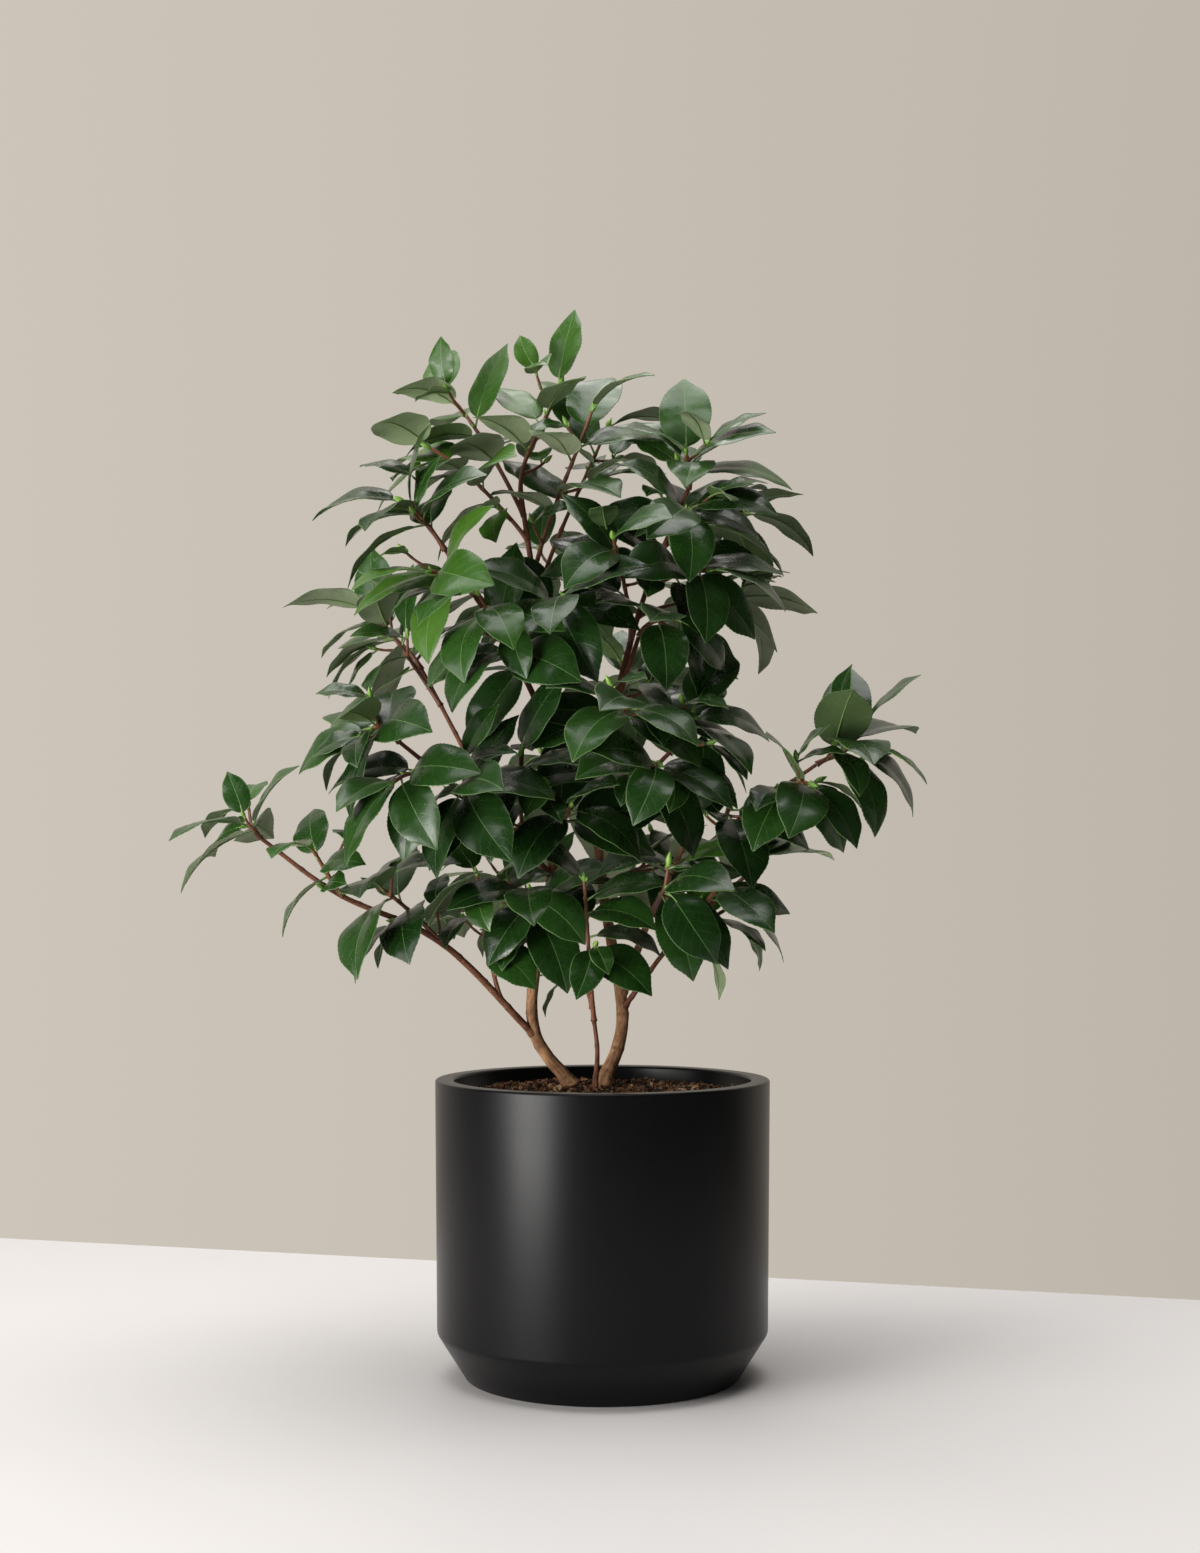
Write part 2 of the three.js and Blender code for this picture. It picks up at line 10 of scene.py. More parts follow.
import bmesh
import bpy
import numpy as np
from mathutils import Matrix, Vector, noise
from mathutils.bvhtree import BVHTree
from mathutils.kdtree import KDTree

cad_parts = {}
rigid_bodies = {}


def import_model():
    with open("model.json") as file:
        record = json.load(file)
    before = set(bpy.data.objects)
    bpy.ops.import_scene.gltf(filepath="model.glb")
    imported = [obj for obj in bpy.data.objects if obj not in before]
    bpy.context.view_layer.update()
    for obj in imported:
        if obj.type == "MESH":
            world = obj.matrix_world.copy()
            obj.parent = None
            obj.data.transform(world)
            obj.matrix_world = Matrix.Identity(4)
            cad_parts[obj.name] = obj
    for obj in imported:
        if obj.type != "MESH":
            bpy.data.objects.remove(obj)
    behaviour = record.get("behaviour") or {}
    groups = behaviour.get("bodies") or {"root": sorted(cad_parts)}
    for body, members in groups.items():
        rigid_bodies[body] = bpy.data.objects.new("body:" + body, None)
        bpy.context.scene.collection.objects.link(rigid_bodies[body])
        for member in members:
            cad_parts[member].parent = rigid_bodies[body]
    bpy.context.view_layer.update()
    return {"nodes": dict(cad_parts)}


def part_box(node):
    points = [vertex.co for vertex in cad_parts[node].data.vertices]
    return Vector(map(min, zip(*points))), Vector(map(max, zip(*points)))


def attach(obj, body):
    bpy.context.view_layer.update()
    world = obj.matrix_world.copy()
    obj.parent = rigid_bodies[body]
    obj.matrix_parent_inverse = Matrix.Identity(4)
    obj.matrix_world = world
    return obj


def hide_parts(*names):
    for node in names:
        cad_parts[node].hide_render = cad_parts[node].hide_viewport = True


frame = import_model()
scene = bpy.context.scene
MM = 0.001

# ---- driving sizes, in millimetres ----

POT = dict(rim=130, wall=14.5, height=230, shoulder=128.5, shoulder_height=35, foot=106.5)
SOIL = dict(level=220, edge_level=218, flat=70)
GAP = 0.3

# name, parent, share of the parent's length, foot and tip radius, flare, taper, steps, points.
LIMBS = [
    ("left_stem", None, 0, 5.4, 2, 2.6, 1, 18, [
        (-25, 36, 220.3), (-56, 33, 275), (-40, 27, 390), (-32, 23, 470), (-48, 25, 580),
        (-64, 20, 686)]),
    ("right_stem", None, 0, 5.8, 1.6, 2.6, 1.15, 18, [
        (0, 42, 220.3), (16, 41, 275), (0, 38, 380), (-2, 38, 465), (30, 31, 600), (68, 28, 694)]),
    ("thin_stem", None, 0, 2, 1.6, 0.8, 1, 5, [
        (-6, 22, 220.3), (-4, 20, 250), (-8, 18, 283)]),
    ("low_left_bough", "left_stem", 0.1, 3, 1.5, 0, 0.8, 13, [
        (-125, 0, 335), (-205, -14, 374), (-262, -22, 416)]),
    ("mid_left_bough", "left_stem", 0.37, 2.6, 1.5, 0, 0.8, 9, [(-70, 5, 420), (-153, -52, 488)]),
    ("rear_left_bough", "left_stem", 0.4, 2.4, 1.5, 0, 0.8, 10, [(-80, 50, 435), (-150, 105, 560)]),
    ("upper_left_bough", "left_stem", 0.55, 2.8, 1.4, 0, 0.8, 10, [(-62, 0, 545), (-120, -30, 636)]),
    ("cross_bough", "left_stem", 0.46, 2.6, 1.7, 0, 0.8, 9, [(-8, 0, 470), (28, -16, 572)]),
    ("right_bough", "right_stem", 0.41, 2.4, 1.5, 0, 0.8, 6, [(20, 10, 450), (55, -16, 486)]),
    ("long_right_bough", "right_stem", 0.15, 3.2, 1.4, 0, 0.8, 13, [
        (48, 22, 375), (105, 8, 430), (166, -5, 474)]),
    ("low_right_bough", "right_stem", 0.13, 2.2, 1.3, 0, 0.8, 10, [(60, 0, 342), (120, -20, 396)]),
]
STEMS = ("left_stem", "right_stem", "thin_stem")

# name, parent, share, shoot tip, bow, leaves, leaf length, turn of the lowest leaf, side twigs, seed.
SPRAYS = [
    ("top_shoot", "left_stem", 1, (-34, 22, 774), 0, 6, 72, 60, 0, 1),
    ("top_left_shoot", "left_stem", 0.97, (-124, 36, 772), 14, 7, 78, 300, 0, 2),
    ("left_crown", "left_stem", 0.93, (-134, -6, 720), 10, 7, 80, 170, 0, 3),
    ("top_middle_shoot", "left_stem", 0.87, (-8, -10, 748), 0, 7, 78, 40, 0, 4),
    ("top_rear_shoot", "left_stem", 0.83, (4, 64, 752), 0, 6, 74, 200, 0, 5),
    ("right_crown", "right_stem", 1, (66, 18, 720), 4, 8, 82, 270, 0, 6),
    ("right_shoulder", "right_stem", 0.93, (66, -28, 668), 6, 7, 76, 330, 0, 7),
    ("right_shoulder_rear", "right_stem", 0.9, (116, 80, 684), 6, 7, 80, 0, 0, 8),
    ("right_flank", "right_stem", 0.82, (80, -26, 622), 8, 8, 80, 40, 0, 9),
    ("right_flank_rear", "right_stem", 0.78, (112, 76, 612), 8, 7, 80, 100, 0, 10),
    ("right_lower_flank", "cross_bough", 1, (58, -42, 584), 4, 6, 76, 20, 0, 11),
    ("centre_front_high", "right_stem", 0.74, (8, -62, 640), 6, 8, 76, 45, 0, 12),
    ("centre_front", "left_stem", 0.76, (-30, -64, 596), 6, 7, 76, 0, 0, 13),
    ("centre_front_low", "cross_bough", 0.5, (22, -88, 512), 6, 6, 76, 60, 0, 14),
    ("upper_left_tip", "upper_left_bough", 1, (-150, -44, 670), 6, 7, 80, 30, 0, 15),
    ("upper_left_front", "upper_left_bough", 0.8, (-128, -78, 612), 6, 6, 78, 70, 0, 16),
    ("upper_left_inner", "upper_left_bough", 0.5, (-92, -76, 596), 4, 7, 76, 20, 0, 17),
    ("inner_left_front", "left_stem", 0.68, (-76, -60, 556), 6, 7, 82, 30, 0, 18),
    ("rear_left_tip", "rear_left_bough", 1, (-182, 116, 590), 8, 7, 80, 10, 0, 19),
    ("rear_left_high", "rear_left_bough", 0.82, (-190, 84, 606), 8, 7, 80, 90, 0, 20),
    ("mid_left_tip", "mid_left_bough", 1, (-172, -64, 498), 8, 7, 82, 0, 0, 21),
    ("mid_left_outer", "mid_left_bough", 0.75, (-154, -88, 456), 8, 6, 80, 40, 0, 22),
    ("mid_left_inner", "mid_left_bough", 0.5, (-106, -76, 452), 6, 6, 78, 20, 0, 23),
    ("inner_left_low", "mid_left_bough", 0.2, (-62, -54, 478), 4, 6, 76, 20, 0, 24),
    ("far_left_tip", "low_left_bough", 1, (-272, -24, 426), 4, 5, 78, 60, 0, 25),
    ("far_left_mid", "low_left_bough", 0.72, (-222, -34, 408), 2, 4, 60, 140, 0, 26),
    ("near_left_spray", "low_left_bough", 0.34, (-178, -20, 382), 8, 7, 88, 340, 0, 27),
    ("low_left_spray", "low_left_bough", 0.16, (-98, 2, 388), 0, 5, 66, 30, 0, 28),
    ("low_centre_spray", "left_stem", 0.26, (-56, -24, 378), 2, 7, 76, 90, 0, 29),
    ("low_front_spray", "thin_stem", 1, (-34, -8, 336), 0, 4, 60, 90, 0, 30),
    ("thin_stem_spray", "thin_stem", 0.85, (-14, -34, 384), 0, 7, 70, 0, 0, 31),
    ("middle_left_spray", "left_stem", 0.42, (-24, -54, 440), 4, 6, 76, 60, 0, 32),
    ("right_bough_tip", "right_bough", 1, (68, -24, 510), 0, 8, 82, 120, 0, 33),
    ("right_bough_front", "right_bough", 0.6, (42, -76, 470), 6, 7, 80, 30, 0, 34),
    ("long_right_tip", "long_right_bough", 1, (196, -10, 494), -8, 9, 84, 20, 0, 35),
    ("long_right_outer", "long_right_bough", 0.84, (158, -30, 458), 6, 5, 76, 60, 0, 36),
    ("long_right_mid", "long_right_bough", 0.62, (100, -22, 448), 4, 6, 78, 20, 0, 37),
    ("long_right_upright", "long_right_bough", 0.38, (70, -10, 430), 0, 6, 78, 70, 0, 38),
    ("long_right_front", "long_right_bough", 0.3, (48, -66, 378), 4, 6, 80, 20, 0, 39),
    ("low_right_tip", "low_right_bough", 1, (120, -22, 408), -2, 5, 74, 40, 0, 40),
    ("low_right_mid", "low_right_bough", 0.62, (88, -44, 378), 4, 5, 78, 60, 0, 41),
    ("low_right_low", "low_right_bough", 0.4, (98, 10, 362), 2, 4, 64, 200, 0, 42),
    ("rear_low_left", "left_stem", 0.3, (-90, 130, 386), 6, 7, 78, 0, 0, 43),
    ("rear_middle", "left_stem", 0.47, (-36, 150, 470), 6, 8, 78, 0, 1, 44),
    ("rear_high_left", "left_stem", 0.72, (-80, 130, 640), 6, 8, 78, 0, 1, 45),
    ("rear_low_right", "right_stem", 0.32, (62, 142, 402), 6, 8, 78, 0, 1, 46),
    ("rear_high_right", "right_stem", 0.6, (28, 150, 560), 6, 8, 78, 0, 1, 47),
]

# Which leaves are younger and lighter. Their undersides are paler still, partly their own colour and partly
# painted light shining through them from behind. All the other sprays are deep green.
FRESH = (
    "top_shoot", "top_left_shoot", "left_crown", "upper_left_front", "low_right_tip", "low_right_low",
)
LIGHTER = (
    "top_middle_shoot", "top_rear_shoot", "right_crown", "right_flank_rear", "far_left_tip",
    "far_left_mid", "low_left_spray", "upper_left_inner", "rear_low_left", "rear_low_right",
    "rear_left_high", "rear_left_tip", "rear_middle",
)

# How a spray grows. Angles are in degrees, and pairs run from the first value to the second.
SHOOT = dict(foot=1.9, tip=1.15, lean=0.35)
TWIG = dict(places=(0.35, 0.65), length=44, radius=(1.5, 1.1), open=55, rise=0.12, turn=90,
            leaves=4, leaf_turn=60)
LEAF = dict(
    golden=137.5, places=(0.3, 0.97), crowding=0.8, last_place=0.99, open=(78, 44), open_last=26,
    open_spread=14, turn_spread=24, lift=(-0.12, 0.34), flatten=0.6, droop=(70, 64),
    droop_upright=0.35, droop_spread=(0.75, 1.2), length_spread=(0.86, 1.06), length_last=0.94,
    width=0.6, petiole=0.12, roll=18, facing=0.45, heads_out=0.2, faces_out=(0.6, 0.1),
    towards_light=(0.15, 1.1), tries=(0, 26, -26, 52, -52, 90), tip_within=0.2,
)
CROWN = dict(middle=(-10, 30), low=310, high=740)

# Finer growth, which the solids leave out: short twigs with smaller leaves between the others.
FINE = dict(
    places=(0.2, 0.5, 0.8), length=(16, 30), radius=(1.1, 0.8), open=62, rise=0.15, turn=60,
    leaves=2, leaf_turn=0, leaf=(0.5, 0.74), leaf_open=(18, 52), leaf_apart=3, tries=(0, 70, -70, 140),
    room=1.2, inside=6,
)

# Where each kind of chance starts among the draws of a spray's seed.
DRAWS = dict(fine_twig=500, bud_length=700, bud_tone=710, stalk=720, side_bud=800, side_bud_tone=900)
FINE_SEED = 50  # added to a spray's seed for its finer leaves

# ---- small sums ----


def unit(vector):
    return vector / np.linalg.norm(vector)


def mix(pair, share):
    return pair[0] + (pair[1] - pair[0]) * share


def square_to(direction, axis):
    """The part of a direction that is square to an axis, at unit length."""
    return unit(direction - axis * direction.dot(axis))


def draw(seed, index):
    """A repeatable random number from 0 to 1 for one draw of one seed."""
    wave = math.sin(seed * 12.9898 + index * 78.233) * 43758.5453
    return wave - math.floor(wave)


def smooth_point(points, span, t):
    """A point on the smooth curve through the points, part of the way from one to the next."""
    b, c = points[span], points[span + 1]
    a = points[span - 1] if span > 0 else 2 * b - c
    d = points[span + 2] if span + 2 < len(points) else 2 * c - b
    return 0.5 * (2 * b + (c - a) * t + (2 * a - 5 * b + 4 * c - d) * t * t
                  + (3 * b - a - 3 * c + d) * t ** 3)


def chords(points):
    """The straight distance from each point to the next."""
    return np.linalg.norm(np.diff(points, axis=0), axis=1)


def distances_along(path):
    """How far along a path each of its points lies."""
    return np.concatenate(((0.0,), np.cumsum(chords(path))))


def point_along(points, share):
    """A point on that curve at a share of the way along its chords."""
    lengths = chords(points)
    left = share * lengths.sum()
    span = 0
    while span < len(lengths) - 1 and left > lengths[span]:
        left -= lengths[span]
        span += 1
    return smooth_point(points, span, left / lengths[span])


def heading_along(points, share, step=0.01):
    return unit(point_along(points, min(1, share + step)) - point_along(points, max(0, share - step)))


def bezier(a, b, c, d, steps):
    t = np.linspace(0, 1, steps + 1)[:, None]
    return a * (1 - t) ** 3 + 3 * b * t * (1 - t) ** 2 + 3 * c * t * t * (1 - t) + d * t ** 3


def frames_along(path):
    """Two unit directions square to a path at each of its points, which turn with it smoothly."""
    axes = np.gradient(path, axis=0)
    axes /= np.linalg.norm(axes, axis=1)[:, None]
    across = square_to(UP if abs(axes[0][2]) < 0.8 else np.array((1.0, 0, 0)), axes[0])
    rows = []
    for axis in axes:
        across = square_to(across, axis)
        rows.append((across, np.cross(axis, across)))
    return np.array([row[0] for row in rows]), np.array([row[1] for row in rows])


# ---- the growth rule ----

UP = np.array((0.0, 0.0, 1.0))
LIGHT = unit(np.array((-0.35, -0.75, 0.55)))  # where the leaves turn their faces


class Limb:
    """A stem or bough: its coarse path, and its radius at a share of that path."""

    FLARE_REACH = 12
    FOOT_CROWDING = 1.25

    def __init__(self, row, limbs):
        self.name, self.parent, share, self.foot, self.tip, self.flare, self.taper, steps, points = row
        points = [np.array(point, float) for point in points]
        if self.parent:
            points.insert(0, point_along(limbs[self.parent].path, share))
        shares = np.linspace(0, 1, steps + 1) ** (1 if self.parent else self.FOOT_CROWDING)
        self.path = np.array([point_along(np.array(points), part) for part in shares])
        self.length = chords(self.path).sum()

    def radius(self, share):
        flare = self.flare * math.exp(-share * self.length / self.FLARE_REACH)
        return self.tip + (self.foot - self.tip) * (1 - share) ** self.taper + flare

    def spot(self, share):
        """The point at a share of the path's steps, on the smooth curve through them."""
        place = share * (len(self.path) - 1)
        span = min(int(place), len(self.path) - 2)
        return smooth_point(self.path, span, place - span)


class Spray:
    """One mass of foliage: where it grows from, and how."""

    def __init__(self, row):
        (self.name, self.parent, self.share, to, self.bow, self.leaves, self.length, self.turn,
         self.twigs, self.seed) = row
        self.to = np.array(to, float)


class Shoot:
    """A path that carries leaves, with its radii at foot and tip."""

    def __init__(self, control, steps, foot, tip, leaves, turn, order):
        self.control = control
        self.path = bezier(*control, steps)
        self.foot, self.tip, self.leaves, self.turn, self.order = foot, tip, leaves, turn, order


def main_shoot(spray, limbs):
    path = limbs[spray.parent].path
    at_tip = spray.share == 1
    heading = unit(path[-1] - path[-2]) if at_tip else heading_along(path, spray.share)
    start = point_along(path, spray.share)
    if at_tip:
        start = start + heading * GAP
    reach = np.linalg.norm(spray.to - start)
    straight = unit(spray.to - start)
    leave = heading if at_tip else unit(straight + heading * SHOOT["lean"])
    third = spray.to - straight * (reach / 3) + UP * spray.bow
    control = (start, start + leave * (reach / 3), third, spray.to)
    return Shoot(control, 3, SHOOT["foot"], SHOOT["tip"], spray.leaves, spray.turn, 0)


def grown_twig(shoot, rule, order, length, number):
    """A twig that leaves a shoot sideways and rises a little towards its tip."""
    place = rule["places"][order]
    start = point_along(shoot.path, place)
    turn = shoot.turn + rule["turn"] + order * LEAF["golden"]
    step = unit(opened(heading_along(shoot.path, place), turn, rule["open"])) * (length / 3)
    control = (start, start + step, start + 2 * step, start + 3 * step + UP * length * rule["rise"])
    return Shoot(control, 2, *rule["radius"], rule["leaves"], turn + rule["leaf_turn"], number)


def side_twig(shoot, order):
    return grown_twig(shoot, TWIG, order, TWIG["length"], 1 + order)


def fine_twig(spray, shoot, order):
    length = mix(FINE["length"], draw(spray.seed, DRAWS["fine_twig"] + order))
    return grown_twig(shoot, FINE, order, length, 10 + order)


def aside(axis, turn):
    """The direction square to an axis, turned from straight up, with its rise and fall flattened."""
    over = square_to(UP if abs(axis[2]) < 0.95 else np.array((0.0, -1, 0)), axis)
    flat = mix((1, LEAF["flatten"]), math.sqrt(1 - axis[2] * axis[2]))
    across = np.cross(axis, over)
    angle = math.radians(turn)
    return unit(over * (flat * math.cos(angle)) + across * math.sin(angle))


def opened(axis, turn, angle):
    """The direction that stands off an axis by an angle, on the side that the turn gives."""
    angle = math.radians(angle)
    return axis * math.cos(angle) + aside(axis, turn) * math.sin(angle)


class Leaf:
    """Where a leaf springs, how it heads off, which way its upper face looks and how it bends."""

    def __init__(self, root, heading, upper, length, droop):
        self.root, self.heading, self.upper = root, heading, upper
        self.length, self.droop = length, droop
        self.side = np.cross(upper, heading)

    def midrib(self, shares):
        """Points on the curved midrib at shares of the leaf, and the blade's upward direction."""
        bent = (self.droop * np.asarray(shares, float))[..., None]
        reach = self.length / self.droop
        spots = self.root + reach * (self.heading * np.sin(bent) - self.upper * (1 - np.cos(bent)))
        return spots, self.upper * np.cos(bent) + self.heading * np.sin(bent)


def out_of_crown(point):
    """The level direction that leads out of the crown from a point in it."""
    x, y = CROWN["middle"]
    return unit(np.array((point[0] - x, point[1] - y, 0.0)))


def set_leaf(root, axis, heading, length, last, chances):
    """Bends and turns a leaf the way its height and the light have it."""
    rolled, longer, bent = chances[2:]
    height = (root[2] - CROWN["low"]) / (CROWN["high"] - CROWN["low"])
    out = out_of_crown(root)
    if not last:
        heading = heading + out * LEAF["heads_out"] + UP * mix(LEAF["lift"], height)
    heading = unit(heading)
    face = UP + axis * LEAF["facing"] + out * mix(LEAF["faces_out"], abs(heading[2]))
    face = face + LIGHT * mix(LEAF["towards_light"], abs(heading[2]))
    upper = square_to(face, heading)
    roll = math.radians(LEAF["roll"]) * 2 * (rolled - 0.5)
    upper = upper * math.cos(roll) + np.cross(heading, upper) * math.sin(roll)
    level = math.sqrt(max(0, 1 - heading[2] ** 2))
    droop = mix(LEAF["droop"], height) * mix(LEAF["droop_spread"], bent)
    droop = math.radians(droop) * mix((LEAF["droop_upright"], 1), level)
    length *= mix(LEAF["length_spread"], longer) * (LEAF["length_last"] if last else 1)
    return Leaf(root, heading, upper, length, droop)


def leaf_of(spray, shoot, index, turned):
    """One leaf of a shoot, counted from its foot, turned round the shoot by some degrees more."""
    chances = [draw(spray.seed, shoot.order * 100 + index * 7 + what) for what in range(1, 6)]
    last = index == shoot.leaves - 1
    along = (index + 0.5) / shoot.leaves
    place = LEAF["last_place"] if last else mix(LEAF["places"], along ** LEAF["crowding"])
    open_angle = mix(LEAF["open"], along) + LEAF["open_spread"] * (chances[0] - 0.5)
    open_angle = LEAF["open_last"] if last else open_angle
    turn = shoot.turn + index * LEAF["golden"] + LEAF["turn_spread"] * (chances[1] - 0.5) + turned
    axis = heading_along(shoot.path, place)
    heading = opened(axis, turn, open_angle)
    return set_leaf(point_along(shoot.path, place), axis, heading, spray.length, last, chances)


def corners_of(node):
    """The corners of a node's solid, ready to be looked up in millimetres."""
    vertices = frame["nodes"][node].data.vertices
    tree = KDTree(len(vertices))
    for vertex in vertices:
        tree.insert(vertex.co / MM, vertex.index)
    tree.balance()
    return tree


def leaves_on(spray, shoots):
    """The leaves that the solid has: of each leaf's turns, the one whose tip is a corner of it."""
    corners = corners_of(spray.name)

    def stands(leaf):
        return corners.find(leaf.midrib(1.0)[0])[2] < LEAF["tip_within"]

    found = []
    for shoot in shoots:
        for index in range(shoot.leaves):
            leaves = [leaf_of(spray, shoot, index, turned) for turned in LEAF["tries"]]
            found += [leaf for leaf in leaves if stands(leaf)][:1]
    return found


# ---- finer growth ----


ROUGH = dict(widest=0.42, shoulder=0.76, shoulder_width=0.74, foot_half=1.0, tip_half=0.4)


def rough_leaf(leaf, grow):
    """A few-sided tree of a leaf's blade, grown all round, to test what it would touch."""
    half = LEAF["width"] * leaf.length * (1 - LEAF["petiole"]) / 2 + grow
    shares = np.array((LEAF["petiole"], ROUGH["widest"], ROUGH["shoulder"], 1.0))
    halves = (ROUGH["foot_half"], half, half * ROUGH["shoulder_width"], ROUGH["tip_half"])
    halves = np.array(halves)[:, None]
    spots, rises = leaf.midrib(shares)
    layers = []
    for across, up in ((1, grow), (-1, grow), (-1, -grow), (1, -grow)):
        layers.append(spots + leaf.side * halves * across + rises * up)
    corners = np.stack(layers, axis=1).reshape(-1, 3)
    faces = [(0, 1, 2, 3), (12, 15, 14, 13)]
    for ring in range(3):
        for side in range(4):
            here, there = ring * 4 + side, ring * 4 + (side + 1) % 4
            faces.append((here, here + 4, there + 4, there))
    tree = BVHTree.FromPolygons([tuple(corner) for corner in corners], faces)
    return tree, corners.min(axis=0), corners.max(axis=0)


class Room:
    """Everything that a new leaf has to clear."""

    def __init__(self):
        self.trees, self.low, self.high = [], [], []

    def take(self, tree, low, high):
        self.trees.append(tree)
        self.low.append(low)
        self.high.append(high)

    def take_node(self, node):
        mesh = frame["nodes"][node].data
        corners = np.array([vertex.co for vertex in mesh.vertices]) / MM
        faces = [tuple(face.vertices) for face in mesh.polygons]
        tree = BVHTree.FromPolygons([tuple(corner) for corner in corners], faces)
        self.take(tree, corners.min(axis=0), corners.max(axis=0))

    def is_free(self, tree, low, high):
        near = np.all((np.array(self.low) <= high) & (np.array(self.high) >= low), axis=1)
        return not any(tree.overlap(self.trees[place]) for place in np.flatnonzero(near))


def fine_leaves(spray, twig, room, low, high):
    """Up to two smaller leaves at the tip of a fine twig, where there is room for them."""
    found = []
    axis = heading_along(twig.path, 1)
    for index in range(twig.leaves):
        chances = [draw(spray.seed + FINE_SEED, twig.order * 20 + index * 7 + what) for what in range(1, 6)]
        root = twig.path[-1] - axis * index * FINE["leaf_apart"]
        length = spray.length * mix(FINE["leaf"], chances[1])
        for turned in FINE["tries"]:
            heading = opened(axis, twig.turn + 180 * index + turned, FINE["leaf_open"][index])
            leaf = set_leaf(root, axis, heading, length, False, chances)
            tree, lowest, highest = rough_leaf(leaf, FINE["room"])
            inside = np.all(lowest > low - FINE["inside"]) and np.all(highest < high + FINE["inside"])
            if inside and room.is_free(tree, lowest, highest):
                room.take(tree, lowest, highest)
                found.append(leaf)
                break
    return found


def grow():
    """All limbs, and for each spray its shoots and leaves, the finer ones last."""
    limbs = {}
    for row in LIMBS:
        limbs[row[0]] = Limb(row, limbs)
    sprays = [Spray(row) for row in SPRAYS]
    room = Room()
    for node in frame["nodes"]:
        room.take_node(node)
    for spray in sprays:
        shoot = main_shoot(spray, limbs)
        spray.shoots = [shoot] + [side_twig(shoot, order) for order in range(spray.twigs)]
        spray.found = leaves_on(spray, spray.shoots)
    for spray in sprays:
        low, high = (np.array(corner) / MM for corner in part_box(spray.name))
        for order in range(len(FINE["places"])):
            twig = fine_twig(spray, spray.shoots[0], order)
            found = fine_leaves(spray, twig, room, low, high)
            if found:
                spray.shoots.append(twig)
                spray.found += found
    return limbs, sprays


# ---- joined meshes ----


def put(name, data):
    """A new object in the scene, at the origin."""
    made = bpy.data.objects.new(name, data)
    scene.collection.objects.link(made)
    return made


class Bundle:
    """Many small parts of one kind, joined into one mesh. Each face is a row of four corners, and
    a three-sided one names its last corner twice."""

    def __init__(self):
        self.points, self.faces, self.materials, self.flat = [], [], [], []
        self.uvs, self.tones = [], []
        self.count = 0

    def add(self, points, faces, materials, flat, uvs, tone):
        self.points.append(points)
        self.faces.append(faces + self.count)
        self.materials.append(materials)
        self.flat.append(flat)
        self.uvs.append(uvs)
        self.tones.append(np.full(len(points), tone))
        self.count += len(points)

    def make(self, name, materials):
        points = np.concatenate(self.points) * MM
        faces = np.concatenate(self.faces)
        uvs = np.concatenate(self.uvs)
        mesh = bpy.data.meshes.new(name)
        mesh.vertices.add(len(points))
        mesh.vertices.foreach_set("co", points.astype(np.float32).ravel())
        used = np.ones(faces.shape, bool)
        used[:, 3] = faces[:, 3] != faces[:, 2]
        corners = faces[used]
        starts = np.cumsum(used.sum(axis=1)) - used.sum(axis=1)
        mesh.loops.add(len(corners))
        mesh.loops.foreach_set("vertex_index", corners.astype(np.int32))
        mesh.polygons.add(len(faces))
        mesh.polygons.foreach_set("loop_start", starts.astype(np.int32))
        mesh.polygons.foreach_set("material_index", np.concatenate(self.materials).astype(np.int32))
        mesh.update(calc_edges=True)
        flat = mesh.attributes.new("sharp_face", "BOOLEAN", "FACE")
        flat.data.foreach_set("value", np.concatenate(self.flat).astype(bool))
        layer = mesh.uv_layers.new(name="growth")
        layer.data.foreach_set("uv", uvs[corners].astype(np.float32).ravel())
        tone = mesh.attributes.new("tone", "FLOAT", "POINT")
        tone.data.foreach_set("value", np.concatenate(self.tones).astype(np.float32))
        for material in materials:
            mesh.materials.append(material)
        piece = put(name, mesh)
        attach(piece, "root")
        return piece


def grid_faces(rows, columns, start=0, turn=False):
    """The four-sided faces of a grid of points, row by row."""
    row, column = np.meshgrid(np.arange(rows - 1), np.arange(columns - 1), indexing="ij")
    here = start + row.ravel() * columns + column.ravel()
    faces = np.stack((here, here + columns, here + columns + 1, here + 1), axis=1)
    return faces[:, ::-1] if turn else faces


def add_tube(bundle, path, radii, sides, tone, material=0):
    """A closed tube round a path. Its UV is the angle and the distance along it in millimetres."""
    across, other = frames_along(path)
    angles = np.linspace(0, 2 * math.pi, sides, endpoint=False)
    ring = across[:, None] * np.cos(angles)[None, :, None] + other[:, None] * np.sin(angles)[None, :, None]
    points = (path[:, None] + ring * np.asarray(radii)[:, None, None]).reshape(-1, 3)
    rows = len(path)
    row, side = np.meshgrid(np.arange(rows - 1), np.arange(sides), indexing="ij")
    here = (row * sides + side).ravel()
    there = (row * sides + (side + 1) % sides).ravel()
    walls = np.stack((here, there, there + sides, here + sides), axis=1)
    caps = []
    last = (rows - 1) * sides
    for step in range(sides // 2 - 1):
        cap = np.array((step, step + 1, sides - 2 - step, sides - 1 - step))
        caps += [cap[::-1], cap + last]
    faces = np.concatenate((walls, np.array(caps)))
    along = distances_along(path)
    uvs = np.stack(np.broadcast_arrays(angles[None, :] / (2 * math.pi), along[:, None]), axis=2)
    flat = np.zeros(len(faces), bool)
    flat[len(walls):] = True
    bundle.add(points, faces, np.full(len(faces), material), flat, uvs.reshape(-1, 2), tone)


# ---- leaves ----

